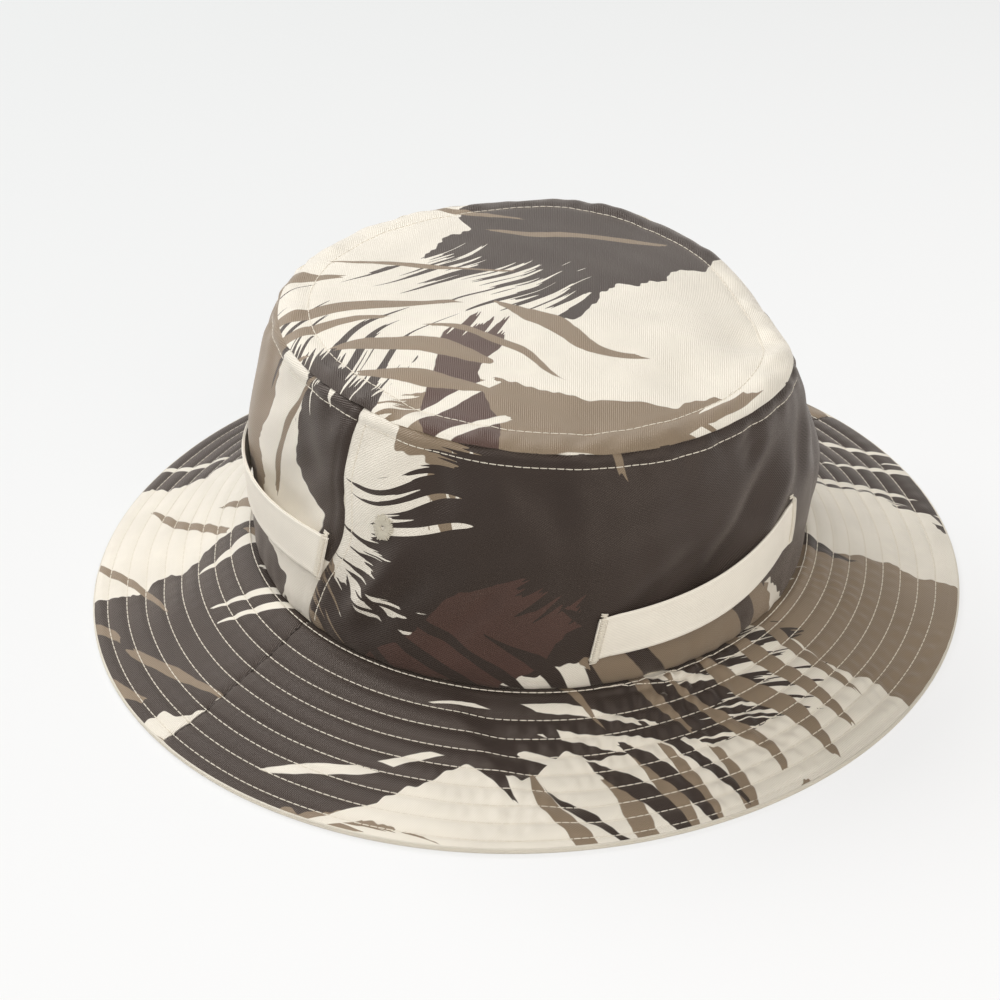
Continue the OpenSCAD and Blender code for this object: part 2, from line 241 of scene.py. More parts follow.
# The cloth by the right side seam has slid round the crown and bunched up
SLIDE = math.radians(4.8)
SLIDE_AT = math.radians(181)
SLIDE_WIDE = math.radians(9)
SLIDE_HEIGHT = 38 * MM
SLIDE_TALL = 17 * MM

# The brim's sag left of the crease, right of it, and where the crease lies
SAG_LEFT = 1.4 * MM
SAG_RIGHT = 4.8 * MM
CREASE_SEAM = math.radians(213)
CREASE_RIM = math.radians(237)
CREASE_WIDTH = math.radians(7)
SAG_EASES = math.radians(60)
BRIM_VALLEY = Fold(140, 0.15, 150, 0.75, 0.014, 1.8)
# Slope of an even brim, for which places and rows on it are given
EVEN_SLOPE = 60 * MM


def mix(low, high, share):
    """Blends two values."""
    return low + (high - low) * share


def arch(share):
    """A bow that is 0 at both ends and 1 at the middle."""
    return 4 * share * (1 - share)


def smooth(low, high, value):
    """A soft step from 0 at low to 1 at high."""
    t = np.clip((value - low) / (high - low), 0, 1)
    return t * t * (3 - 2 * t)


def bell(distance, wide):
    """A soft bump of height 1."""
    return np.exp(-np.square(distance / wide))


def away(a, b):
    """The signed turn from angle b to angle a, at most half a turn."""
    return (a - b + math.pi) % TURN - math.pi


def unit(vectors):
    """Vectors at length 1."""
    return vectors / np.linalg.norm(vectors, axis=-1, keepdims=True)


# An uneven ripple of the cloth: height, wavelength in metres, and its own draw of chance
Ripple = namedtuple("Ripple", "high long draw")
CROSSING_WAVES = 8


def ripple(points, kind):
    """An uneven soft ripple over points, up to about its height either way, made of a few crossing waves."""
    chance = np.random.default_rng(kind.draw)
    total = np.zeros(points.shape[:-1])
    for _ in range(CROSSING_WAVES):
        way = unit(chance.normal(size=3))
        pitch = kind.long * chance.uniform(0.7, 1.7)
        total += np.sin(points @ way * TURN / pitch + chance.uniform(0, TURN))
    return kind.high * total / math.sqrt(CROSSING_WAVES)


# A webbing loop: angle and height of both ends, slack in metres, and how far its upper edge flares in
# millimetres
Loop = namedtuple("Loop", "start stop low_start low_stop slack flare")
FRONT_LOOP_START = math.radians(240)
RIGHT_LOOP_END = math.radians(182.3)
LEFT_LOOP_END = math.radians(0.8)
FRONT_FLARE = -1.2
SIDE_FLARE = 1.0
# How far round a loop's sewn end the wall lies flat, along it and up it
FLAT_ASIDE = 11 * MM
FLAT_UP = 14 * MM


class HatForm:
    """The hat's surfaces. Each function takes arrays of places and gives points in metres."""

    def __init__(self):
        self.size = bpy.context.scene.hat_sizes
        self.sewing = bpy.context.scene.hat_sewing
        size = self.size
        self.mean_r = (size.seam_w + size.seam_l) / 4
        self.ply_in = size.stiffener_t / 2 + size.ply_gap
        self.ply_out = self.ply_in + size.twill_t
        self.rim_z = 0.8 * self.ply_out
        self.tape_depth = size.twill_t + size.ply_gap
        self.band_depth = self.tape_depth + size.tape_t + size.ply_gap
        side = size.loop_len / self.mean_r
        front_stop = FRONT_LOOP_START + size.front_len / self.mean_r
        low, high = size.front_rise, size.front_rise + size.front_climb
        near, far = size.side_rise, size.side_rise - size.side_fall
        self.loops = {
            "front": Loop(FRONT_LOOP_START, front_stop, low, high, size.front_slack, FRONT_FLARE),
            "right": Loop(RIGHT_LOOP_END - side, RIGHT_LOOP_END, far, near, size.side_slack, SIDE_FLARE),
            "left": Loop(LEFT_LOOP_END, LEFT_LOOP_END + side, near, far, size.side_slack, SIDE_FLARE),
        }

    def leaned(self, x, y, z):
        """A place of the upright crown, leaned over and lifted onto the brim."""
        size = self.size
        ux, uy = math.cos(size.lean_to), math.sin(size.lean_to)
        along = x * ux + y * uy
        across = y * ux - x * uy
        moved = along * math.cos(size.lean) + z * math.sin(size.lean)
        high = size.seam_rise + z * math.cos(size.lean) - along * math.sin(size.lean)
        return np.stack(np.broadcast_arrays(moved * ux - across * uy, moved * uy + across * ux, high), -1)

    def press(self, turn, share):
        """How far the soft crown bulges at an angle and a height share."""
        total = 0.0
        for p in PRESSES:
            near = bell(away(turn, math.radians(p.angle)), math.radians(p.wide))
            total = total + p.push * MM * near * bell(share - p.height, p.tall)
        return total * smooth(0, 0.25, share)

    def ride(self, turn):
        """How far the top seam lies above its even height."""
        total = 0.0
        for r in SEAM_RIDES:
            total = total + r.push * MM * bell(away(turn, math.radians(r.angle)), math.radians(r.wide))
        return total

    def near_tabs(self, a, h):
        """1 where a loop's end is sewn to the wall, and 0 away from it."""
        total = 0.0
        for loop in self.loops.values():
            for tab, low in ((loop.start, loop.low_start), (loop.stop, loop.low_stop)):
                aside = away(a, tab) * self.mean_r
                above = h - low - self.size.loop_w / 2
                total = np.maximum(total, bell(aside, FLAT_ASIDE) * bell(above, FLAT_UP))
        return total

    def slump(self, a, h):
        """How far the soft wall folds in or out, apart from its bulges."""
        share = h / self.size.wall_h
        total = 0.0 * a
        for fold in WALL_FOLDS:
            total = total - valley(fold, a, share, self.mean_r, self.size.wall_h)
        for dent in WALL_DENTS:
            near = bell(away(a, math.radians(dent.angle)), math.radians(dent.wide))
            total = total + dent.push * MM * near * bell(share - dent.height, dent.tall)
        return total * (1 - self.near_tabs(a, h)) * smooth(0, 0.12, share)

    def wall(self, a, h, d=0.0, taut=False):
        """Points at angle a and height h on the wall, lifted by d off its face.

        Taut pieces leave out its folds.
        """
        size = self.size
        share = h / size.wall_h
        if not taut:
            d = d + self.slump(a, h)
            a = a + SLIDE * bell(h - SLIDE_HEIGHT, SLIDE_TALL) * bell(away(a, SLIDE_AT), SLIDE_WIDE)
        flare = (size.seam_w + size.seam_l - size.top_w - size.top_l) / 4 / size.wall_h
        tilt = np.arctan(flare - 4 * size.wall_bow * (1 - 2 * share) / size.wall_h)
        turn = a + size.seam_twist * share
        off = size.wall_bow * arch(share) + self.press(turn, share) + d * np.cos(tilt)
        half_x = mix(size.seam_w, size.top_w, share) / 2 + off
        half_y = mix(size.seam_l, size.top_l, share) / 2 + off
        high = h + d * np.sin(tilt) + self.ride(turn) * smooth(0, 1, share)
        return self.leaned(half_x * np.cos(turn), half_y * np.sin(turn), high)

    def top(self, a, k, d=0.0):
        """Points at angle a on the top panel, at share k of the way to its seam, lifted by d."""
        size = self.size
        push = self.press(a, 1.0) * k * k
        x = (k * size.top_w / 2 + push) * np.cos(a)
        y = (k * size.top_l / 2 + push) * np.sin(a)
        rise = size.wall_h + size.ply_gap + size.twill_t + size.top_rise * (1 - k * k) + self.ride(a) * k * k
        for dent in TOP_DENTS:
            middle = math.radians(dent.angle)
            dx = x - dent.share * size.top_w / 2 * math.cos(middle)
            dy = y - dent.share * size.top_l / 2 * math.sin(middle)
            rise = rise + dent.push * MM * np.exp(-(dx * dx + dy * dy) / dent.wide ** 2)
        return self.leaned(x, y, rise + d)

    def rim(self, a):
        """Points of the rim."""
        size = self.size
        x = (size.seam_w / 2 + size.brim_side) * np.cos(a)
        y = (size.seam_l / 2 + size.brim_front) * np.sin(a)
        return np.stack(np.broadcast_arrays(x, y, self.rim_z), -1)

    def brim_slope(self, a):
        """Length of the brim's slope."""
        return np.linalg.norm(self.rim(a) - self.wall(a, 0.0 * a, self.size.ply_gap), axis=-1)

    def brim_sag(self, a, s):
        """Sag of the brim: little on one side of a slanting crease, much on the other."""
        past = away(a, mix(CREASE_SEAM, CREASE_RIM, s))
        low = mix(SAG_LEFT, SAG_RIGHT, smooth(0, CREASE_WIDTH, past))
        eased = smooth(CREASE_WIDTH, CREASE_WIDTH + SAG_EASES, np.abs(past))
        return mix(low, self.size.brim_sag, eased) * arch(np.clip(s, 0, 1))

    def brim(self, a, s, d=0.0):
        """Points at angle a on the brim, at share s of the way to the rim, lifted by d off its middle."""
        seam = self.wall(a, 0.0 * a, self.size.ply_gap)
        run = self.rim(a) - seam
        out = np.stack([np.cos(a), np.sin(a), 0 * a], -1)
        reach = (run * out).sum(-1, keepdims=True)
        up = unit(np.concatenate([-run[..., 2:] * out[..., :2], reach], -1))
        low = self.brim_sag(a, s) + valley(BRIM_VALLEY, a, s, self.mean_r * 1.3, EVEN_SLOPE) * arch(s)
        lift = d - low
        points = seam + s[..., None] * run + lift[..., None] * up
        points[..., 2] = np.maximum(points[..., 2], 0)
        return points


def valley(fold, turn, share, radius, height):
    """Depth of a soft valley along a line from one place to another."""
    ax, ay = math.radians(fold.angle_a) * radius, fold.height_a * height
    bx, by = math.radians(fold.angle_b) * radius, fold.height_b * height
    x = away(turn, math.radians(fold.angle_a)) * radius + ax
    y = share * height
    run = (bx - ax) ** 2 + (by - ay) ** 2
    t = ((x - ax) * (bx - ax) + (y - ay) * (by - ay)) / run
    aside = ((x - ax) * (by - ay) - (y - ay) * (bx - ax)) / math.sqrt(run)
    ends = smooth(-0.35, 0.3, t) * (1 - smooth(0.7, 1.35, t))
    return fold.depth * MM * bell(aside, fold.wide) * ends


# The cloth's edges turn in at the seams, and grooves lie under the stitch rows with puffs beside them
EDGE_TURN = 1.0 * MM
EDGE_REACH = 1.3 * MM
GROOVE = 0.35 * MM
GROOVE_WIDE = 0.9 * MM
PUFF = 0.5 * MM
WALL_BULGES = Ripple(0.8 * MM, 60 * MM, 3)
WALL_CREASES = Ripple(0.28 * MM, 16 * MM, 5)
WALL_SEAM_CREASES = Ripple(0.35 * MM, 8 * MM, 7)
TOP_BULGES = Ripple(0.7 * MM, 75 * MM, 11)
TOP_CREASES = Ripple(0.12 * MM, 18 * MM, 13)
TOP_SEAM_CREASES = Ripple(0.40 * MM, 9 * MM, 17)
BRIM_BULGES = Ripple(0.5 * MM, 50 * MM, 29)
BAND_BULGES = Ripple(0.5 * MM, 40 * MM, 31)


def wall_lift(form, a, h, edges):
    """How far the wall's cloth stands off its even face."""
    size, sewing = form.size, form.sewing
    share = h / size.wall_h
    drop = size.wall_h - h
    side = np.minimum(np.abs(a - edges[0]), np.abs(edges[1] - a)) * form.mean_r
    base = form.wall(a, h)
    lift = ripple(base, WALL_BULGES) * smooth(0, 0.2, share) * smooth(0, 0.15, 1 - share)
    lift += ripple(base, WALL_CREASES) * smooth(0, 0.12, share)
    seam_creases = ripple(base * (1, 1, 0.3), WALL_SEAM_CREASES)
    lift += seam_creases * (bell(h, 9 * MM) + bell(drop, 11 * MM))
    lift *= 1 - form.near_tabs(a, h)
    lift += PUFF * (bell(h - 6 * MM, 4 * MM) + bell(drop - 2.5 * MM, 1.8 * MM))
    lift -= GROOVE * bell(drop - sewing.high_row, GROOVE_WIDE)
    lift -= GROOVE * 0.7 * bell(side - sewing.side_row, GROOVE_WIDE)
    lift -= EDGE_TURN * (0.6 * np.exp(-h / (0.6 * EDGE_REACH)) + np.exp(-drop / EDGE_REACH))
    lift -= 0.7 * EDGE_TURN * np.exp(-side / EDGE_REACH)
    return lift


def top_lift(form, a, k):
    """How far the top panel's cloth stands off its even dome."""
    size, sewing = form.size, form.sewing
    edge = (1 - k) * (size.top_w + size.top_l) / 4
    base = form.top(a, k)
    lift = ripple(base, TOP_BULGES) * smooth(0, 14 * MM, edge)
    lift += ripple(base, TOP_CREASES)
    lift += ripple(base, TOP_SEAM_CREASES) * bell(edge - 4 * MM, 5 * MM)
    lift += PUFF * bell(edge - 4.5 * MM, 3.4 * MM)
    lift -= GROOVE * bell(edge - sewing.top_row, GROOVE_WIDE * 1.4)
    lift -= 1.2 * EDGE_TURN * np.exp(-edge / EDGE_REACH)
    return lift


# The brim's puckers: how many go round it in two crossing sets, their height everywhere and how much they
# gain where they are strongest, that place and its spread, and how they shift and come in patches
PUCKERS = 136
CROSS_PUCKERS = 73
PUCKER_HIGH = 0.06 * MM
PUCKER_GAIN = 0.85 * MM
PUCKER_PLACE = math.radians(264)
PUCKER_WIDE = math.radians(40)
PUCKER_SHIFT = Ripple(3.0, 34 * MM, 19)
PUCKER_PATCHES = Ripple(0.7, 45 * MM, 23)
# The deepest that a pucker sinks, so that the upper cloth and the facing never meet
LOWEST_LIFT = 0.5 * MM
# Height of the puffs between the brim's rows, and depth of the grooves under the rows and the edge row
BRIM_PUFF = 0.40 * MM
BRIM_GROOVE = 0.30 * MM
EDGE_GROOVE = 0.25 * MM
# Share of a turn in which the spiral row leaves the edge row
SPIRAL_EASE = 0.05


def spiral_far(form, turn, slope):
    """Distance of the brim's spiral row from the seam after so many turns."""
    sewing = form.sewing
    start = mix(sewing.edge_row, sewing.spiral_start, smooth(0, SPIRAL_EASE, turn))
    return (start + turn * sewing.spiral_pitch) * slope / EVEN_SLOPE


def spiral_share(form, a):
    """Share of the turn that the brim's spiral row has made at an angle."""
    return ((a - form.sewing.spiral_from) % TURN) / TURN


def brim_lift(form, a, s):
    """How far the brim's cloth stands off the stiffener: puffed and puckered between the stitch rows."""
    sewing = form.sewing
    slope = form.brim_slope(a)
    s = np.clip(s, 0, 1)
    far = s * slope
    share = spiral_share(form, a)
    at = (far * EVEN_SLOPE / slope - sewing.spiral_start) / sewing.spiral_pitch - share
    at = np.clip(at, -1, sewing.spiral_turns - share)
    channel = np.floor(at)
    over = at - channel
    across = np.sin(math.pi * over)
    to_row = np.minimum(over, 1 - over) * sewing.spiral_pitch
    inner = (at > -0.5) & (at < sewing.spiral_turns - share)
    base = form.brim(a, s)
    phase = 2.4 * np.sin(3.7 * (channel + share)) + ripple(base, PUCKER_SHIFT)
    high = PUCKER_HIGH + PUCKER_GAIN * bell(away(a, PUCKER_PLACE), PUCKER_WIDE)
    high = high * np.clip(0.6 + ripple(base, PUCKER_PATCHES), 0, 1.6)
    pucker = 0.6 * np.sin(PUCKERS * a + phase) + 0.5 * np.sin(CROSS_PUCKERS * a - 1.3 * phase)
    edges = smooth(0, 2 * MM, far) * smooth(0, 3 * MM, slope - far)
    lift = (BRIM_PUFF + high * pucker) * across * edges
    lift -= BRIM_GROOVE * bell(to_row, GROOVE_WIDE) * inner * edges
    lift -= EDGE_GROOVE * bell(far - sewing.edge_row, 0.6 * GROOVE_WIDE)
    lift += ripple(base, BRIM_BULGES) * arch(s)
    return np.where(lift < 0, LOWEST_LIFT * np.tanh(lift / LOWEST_LIFT), lift)


# Columns and rows of each sheet's grid, the distance at which its ends are joined, and the angle from which
# an edge is sharp
GRIDS = {
    "top": (360, 84), "wall": (300, 84), "brim": (520, 86), "stiffener": (160, 24), "facing": (360, 110),
    "band": (360, 24), "binding": (360, 17), "side tape": (12, 60), "webbing": (120, 32),
}
WELD = 0.002 * MM
SHARP = math.radians(50)


def cloth(name, grid, place, flat, thickness, closed=False, looks=1):
    """A sheet of cloth: a grid is laid out by place, gets its flat lay as a map, and then its thickness."""
    columns, rows = GRIDS[grid]
    bpy.ops.object.select_all(action="DESELECT")
    bpy.ops.mesh.primitive_grid_add(x_subdivisions=columns, y_subdivisions=rows, size=1, calc_uvs=True)
    piece = bpy.context.active_object
    piece.name = name
    mesh = piece.data
    mesh.name = name
    corners = np.empty(len(mesh.vertices) * 3)
    mesh.vertices.foreach_get("co", corners)
    corners = corners.reshape(-1, 3)
    u = np.clip(corners[:, 0] + 0.5, 0, 1)
    v = np.clip(corners[:, 1] + 0.5, 0, 1)
    mesh.vertices.foreach_set("co", place(u, v).ravel())
    used = np.empty(len(mesh.loops), int)
    mesh.loops.foreach_get("vertex_index", used)
    layer = mesh.uv_layers[0]
    layer.name = CLOTH_MAP
    layer.uv.foreach_set("vector", flat(u, v)[used].ravel())
    mesh.update()
    if closed:
        bpy.ops.object.mode_set(mode="EDIT")
        bpy.ops.mesh.select_all(action="SELECT")
        bpy.ops.mesh.remove_doubles(threshold=WELD)
        bpy.ops.object.mode_set(mode="OBJECT")
    solid = piece.modifiers.new("thickness", "SOLIDIFY")
    solid.thickness = thickness
    solid.offset = -1
    for _ in range(looks):
        mesh.materials.append(None)
    solid.material_offset = looks - 1
    bpy.ops.object.modifier_apply(modifier=solid.name)
    bpy.ops.object.shade_smooth_by_angle(angle=SHARP)
    return piece


def finish_piece(piece, slot, looks, *nodes):
    """Gives a piece its finish, and lets it ride on the hat in place of its solids."""
    kept = piece.data.materials
    for index, look in enumerate(looks):
        if index < len(kept):
            kept[index] = look
        else:
            kept.append(look)
    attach(piece, BODY)
    if nodes:
        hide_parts(*nodes)
    return piece


def on_roll(x, y, turn, across, along):
    """A panel's flat lay, turned and moved to its place on the roll of printed cloth."""
    c, s = math.cos(math.radians(turn)), math.sin(math.radians(turn))
    return np.stack([x * c - y * s + across, x * s + y * c + along], -1)


class Wire:
    """A value in a shader, so that shader maths reads as Python expressions."""

    def __init__(self, look, socket):
        self.look = look
        self.socket = socket

    def maths(self, operation, *others):
        """The result of a maths node."""
        return self.look.node("ShaderNodeMath", {"operation": operation}, dict(enumerate((self, *others))))

    def __add__(self, other):
        return self.maths("ADD", other)

    def __sub__(self, other):
        return self.maths("SUBTRACT", other)

    def __rsub__(self, other):
        return (self * -1.0) + other

    def __mul__(self, other):
        return self.maths("MULTIPLY", other)

    def __truediv__(self, other):
        return self.maths("DIVIDE", other)

    def __abs__(self):
        return self.maths("ABSOLUTE")

    __radd__ = __add__
    __rmul__ = __mul__

    def floor(self):
        return self.maths("FLOOR")

    def fract(self):
        return self.maths("FRACT")

    def wave(self, pitch):
        """A wave of that pitch, from -1 to 1."""
        return (self * (TURN / pitch)).maths("SINE")

    def least(self, other):
        return self.maths("MINIMUM", other)

    def most(self, other):
        return self.maths("MAXIMUM", other)

    def step(self, low, high):
        """A soft step from 0 at low to 1 at high."""
        settings = {"interpolation_type": "SMOOTHSTEP", "clamp": True}
        return self.look.node("ShaderNodeMapRange", settings, {0: self, 1: low, 2: high, 3: 0.0, 4: 1.0})


# Tint of the cloth's shine, and how soft its sheen is
WARM_SHINE = (1.0, 0.87, 0.77, 1.0)
SOFT_SHEEN = 0.5


class Look:
    """A procedural finish under construction, for a material or a world."""

    def __init__(self, owner):
        self.owner = owner
        owner.use_nodes = True
        self.tree = owner.node_tree
        self.tree.nodes.clear()

    def node(self, kind, settings, sockets, out=0):
        """Adds a node: its settings first, then the values or wires of its sockets. Gives one output."""
        new = self.tree.nodes.new(kind)
        for key, value in settings.items():
            setattr(new, key, value)
        for key, value in sockets.items():
            if isinstance(value, Wire):
                self.tree.links.new(value.socket, new.inputs[key])
            else:
                new.inputs[key].default_value = value
        return Wire(self, new.outputs[out]) if new.outputs else None

    def flat_lay(self):
        """The place on the flat cloth, in metres."""
        return self.node("ShaderNodeUVMap", {"uv_map": CLOTH_MAP}, {})

    def place(self):
        """The place on the object."""
        return self.node("ShaderNodeTexCoord", {}, {}, "Object")

    def axis(self, vector, name):
        """One coordinate of a vector."""
        return self.node("ShaderNodeSeparateXYZ", {}, {0: vector}, name)

    def turned(self, vector, degrees):
        """A vector turned about Z."""
        settings = {"rotation_type": "Z_AXIS"}
        sockets = {"Vector": vector, "Angle": math.radians(degrees)}
        return self.node("ShaderNodeVectorRotate", settings, sockets)

    def joined(self, x, y, z):
        """A vector made of its coordinates."""
        return self.node("ShaderNodeCombineXYZ", {}, {0: x, 1: y, 2: z})

    def noise(self, vector, scale, detail, out="Fac"):
        """Soft noise."""
        sockets = {"Vector": vector, "Scale": scale, "Detail": detail, "Roughness": 0.55}
        return self.node("ShaderNodeTexNoise", {}, sockets, out)

    def chance(self, vector, out):
        """A value from 0 to 1 drawn by chance for each place."""
        settings = {"noise_dimensions": "3D"}
        drawn = self.node("ShaderNodeTexWhiteNoise", settings, {"Vector": vector}, "Color")
        return self.node("ShaderNodeSeparateColor", {}, {0: drawn}, out)

    def blend(self, factor, first, second):
        """Blends two colours."""
        return self.node("ShaderNodeMix", {"data_type": "RGBA"}, {0: factor, 6: first, 7: second}, 2)

    def shaded(self, tint, factor):
        """A colour made lighter or darker by a factor."""
        grey = self.joined(factor, factor, factor)
        return self.node("ShaderNodeMix", {"data_type": "RGBA", "blend_type": "MULTIPLY"},
                         {0: 1.0, 6: tint, 7: grey}, 2)

    def surface(self, tint, roughness, height, depth, sheen, shine=0.12):
        """The finished cloth surface, with its fine relief. Its shine is warm, as brown fibres give it."""
        bump = self.node("ShaderNodeBump", {}, {"Height": height, "Strength": 1.0, "Distance": depth})
        sockets = {"Base Color": tint, "Roughness": roughness, "Normal": bump, "Specular IOR Level": shine,
                   "Specular Tint": WARM_SHINE, "Sheen Weight": sheen, "Sheen Roughness": SOFT_SHEEN,
                   "Sheen Tint": WARM_SHINE}
        shader = self.node("ShaderNodeBsdfPrincipled", {}, sockets)
        self.node("ShaderNodeOutputMaterial", {}, {"Surface": shader})
        return self.owner


def tint_of(name):
    """A colour of the hat as a socket takes it."""
    return (*getattr(bpy.context.scene.hat_colours, name), 1.0)


# A layer of brush strokes: colour, slant, row height, stroke length, how full its rows are, how ragged its
# ends, how pointed and how bent its strokes, the share of cells that hold one, how strongly strokes keep to
# clumps, and the layer's own draw of chance
Brush = namedtuple("Brush", "tint slant row run full ragged point bend cover clump draw")
BRUSHES = (
    Brush("taupe", 58, 0.090, 0.230, 0.95, 0.080, 0.25, 0.10, 0.66, 0.0, 3.0),
    Brush("brown", 14, 0.130, 0.320, 1.00, 0.100, 0.25, 0.10, 0.80, 0.0, 11.0),
    Brush("brown", 40, 0.095, 0.240, 0.90, 0.080, 0.25, 0.10, 0.34, 0.0, 23.0),
    Brush("rust", -28, 0.060, 0.105, 0.62, 0.030, 0.35, 0.20, 0.06, 0.0, 31.0),
    Brush("cream", 30, 0.011, 0.074, 0.70, 0.014, 0.95, 0.45, 0.66, 0.56, 53.0),
    Brush("taupe", 74, 0.012, 0.066, 0.72, 0.012, 0.90, 0.45, 0.62, 0.56, 41.0),
    Brush("brown", 62, 0.011, 0.064, 0.68, 0.012, 0.95, 0.45, 0.60, 0.57, 67.0),
)
# Half width of a stroke's soft edge
EDGE_SOFT = 0.18 * MM


def strokes(look, lay, brush):
    """Where a layer of brush strokes has paint: strokes in rows, with ragged ends as bristles leave them."""
    turned = look.turned(lay, brush.slant)
    along, across = look.axis(turned, "X"), look.axis(turned, "Y")
    row_at = across / brush.row
    row_number = row_at.floor()
    shift = look.chance(look.joined(row_number, brush.draw, 0.5), "Red")
    cell_at = along / brush.run + shift
    cell = look.joined(cell_at.floor(), row_number, brush.draw)
    red, green, blue = (look.chance(cell, name) for name in ("Red", "Green", "Blue"))
    x = cell_at.fract() - 0.5
    middle = (red - 0.5) * 0.34
    half = (0.5 - abs(middle)) * (0.45 + 0.55 * green) * brush.full
    taper = 1 - x * x * (4.4 * brush.point)
    bent = (x * x - 0.06) * (green - 0.5) * (2.4 * brush.bend)
    slow = look.noise(look.joined(along * 38.0, across * 9.0, brush.draw), 1.0, 3.0)
    side = (half * taper - abs(row_at.fract() - 0.5 - middle + bent)) * brush.row
    side = side + (slow - 0.5) * (brush.row * 0.34)
    bristles = look.noise(look.joined(along * 16.0, across * 330.0, brush.draw), 1.0, 2.0)
    end = (0.44 - abs(x)) * brush.run + (bristles - 0.55) * (brush.ragged * 1.6)
    present = (brush.cover - blue) * 10.0
    if brush.clump:
        spot = look.joined(cell_at.floor() * brush.run, row_number * brush.row, brush.draw)
        present = present.least((look.noise(spot, 7.0, 1.0) - brush.clump) * 10.0)
    return side.least(end).least(present).step(-EDGE_SOFT, EDGE_SOFT)


def camouflage(look, lay):
    """The print: brush strokes of the cloth's colours, laid over each other on a cream ground."""
    bend = look.noise(lay, 9.0, 1.5, "Color")
    shifted = look.node("ShaderNodeVectorMath", {"operation": "MULTIPLY_ADD"},
                        {0: bend, 1: (0.075, 0.075, 0.0), 2: lay})
    tint = tint_of("cream")
    for brush in BRUSHES:
        paint = strokes(look, shifted, brush)
        tint = look.blend(paint, tint, tint_of(brush.tint))
    return tint


# Pitch of the twill's ribs and yarns, how far the ribs wander, and their slant in degrees
WALE = 0.62 * MM
YARN = 0.40 * MM
WANDER = 0.18 * MM
TWILL_SLANT = 63


def twill(look, lay, slant):
    """Height of the twill's slanting ribs, from 0 to 1, with yarns across them."""
    bent = look.noise(lay, 900.0, 1.0)
    turned = look.turned(lay, slant)
    rib = (look.axis(turned, "X") + bent * WANDER).wave(WALE)
    yarn = look.axis(lay, "Y").wave(YARN)
    return 0.5 + rib * 0.4 + yarn * 0.1


def printed_twill(name, strength):
    """Printed cotton twill. Its reverse shows the print weakly."""
    look = Look(bpy.data.materials.new(name))
    lay = look.flat_lay()
    tint = camouflage(look, lay)
    if strength < 1:
        tint = look.blend(strength, tint_of("cream"), tint)
    ribs = twill(look, lay, TWILL_SLANT)
    worn = look.noise(lay, 55.0, 4.0)
    # Painted shade in the twill's grooves and painted highlight on its ribs, with a mottled tone from the
    # worn noise
    tint = look.shaded(tint, 0.83 + ribs * 0.08 + worn * 0.26)
    return look.surface(tint, 0.36 + worn * 0.10, ribs, 0.12 * MM, sheen=0.25, shine=0.40)


def plain_cloth(name, tint_name, slant, depth):
    """Plain cotton cloth with slanting ribs."""
    look = Look(bpy.data.materials.new(name))
    lay = look.flat_lay()
    ribs = twill(look, lay, slant)
    worn = look.noise(lay, 70.0, 4.0)
    # Painted shade in the cloth's grooves and painted highlight on its ribs, with a mottled tone from the
    # worn noise
    tint = look.shaded(tint_of(tint_name), 0.82 + ribs * 0.18 + worn * 0.16)
    return look.surface(tint, 0.84 + worn * 0.10, ribs, depth, sheen=0.2)


def thread_finish(name, tint_name):
    """Twisted sewing thread."""
    look = Look(bpy.data.materials.new(name))
    place = look.place()
    fuzz = look.noise(place, 3500.0, 2.0)
    tint = look.shaded(tint_of(tint_name), 0.75 + fuzz * 0.45)
    return look.surface(tint, 0.62 + fuzz * 0.15, fuzz, 0.12 * MM, sheen=0.2)


class HatLooks:
    """The finishes, each made once."""

    made = {}

    @classmethod
    def get(cls, name):
        """A finish by its name."""
        if name not in cls.made:
            cls.made[name] = {
                "printed": lambda: printed_twill("printed_twill", 1.0),
                "reverse": lambda: printed_twill("printed_twill_reverse", 0.30),
                "facing": lambda: plain_cloth("facing_twill", "facing", TWILL_SLANT, 0.09 * MM),
                "webbing": lambda: plain_cloth("cotton_webbing", "webbing", 90, 0.08 * MM),
                "tape": lambda: plain_cloth("cotton_tape", "tape", 45, 0.08 * MM),
                "interlining": lambda: plain_cloth("interlining", "cream", 0, 0.08 * MM),
                "thread": lambda: thread_finish("sewing_thread", "thread"),
                "dark thread": lambda: thread_finish("dark_thread", "dark_thread"),
                "embroidery": lambda: thread_finish("embroidery_thread", "embroidery"),
            }[name]()
        return cls.made[name]

    @classmethod
    def both_sides(cls):
        """The printed cloth's outer and inner finish."""
        return [cls.get("printed"), cls.get("reverse")]


# Where each printed panel lies on the roll: turn in degrees, then metres across and along
ROLL = {
    "top": (158.5, 1.144, 0.716),
    "wall_front": (-9.6, 0.965, 1.348),
    "wall_back": (14.9, 0.551, 1.169),
    "brim_front": (18.2, 0.716, 0.316),
    "brim_back": (13.7, 0.762, 0.486),
}
WALL_EDGES = {"front": (RIGHT_SEAM, LEFT_SEAM), "back": (0.0, RIGHT_SEAM)}
# Room left at the side seams
BUTT_GAP = 0.05 * MM
# Share of half a turn that a brim half has when it lies flat, and its width there
BRIM_CONE = 0.95
BRIM_CUT = 58 * MM


class HAT_OT_top_panel(bpy.types.Operator):
    """Makes the round top panel"""

    bl_idname = "hat.top_panel"
    bl_label = "Top panel"

    def execute(self, context):
        form = HatForm()
        size = form.size

        def place(u, v):
            a, k = u * TURN, 1 - v
            return form.top(a, k, top_lift(form, a, k))

        def flat(u, v):
            a, k = u * TURN, 1 - v
            x = k * size.top_w / 2 * np.cos(a)
            y = k * size.top_l / 2 * np.sin(a)
            return on_roll(x, y, *ROLL["top"])

        piece = cloth("top_panel", "top", place, flat, size.twill_t, closed=True, looks=2)
        finish_piece(piece, "printed_twill", HatLooks.both_sides(), "crown_top")
        area = math.pi / 4 * size.top_w * size.top_l
        return {"FINISHED"}


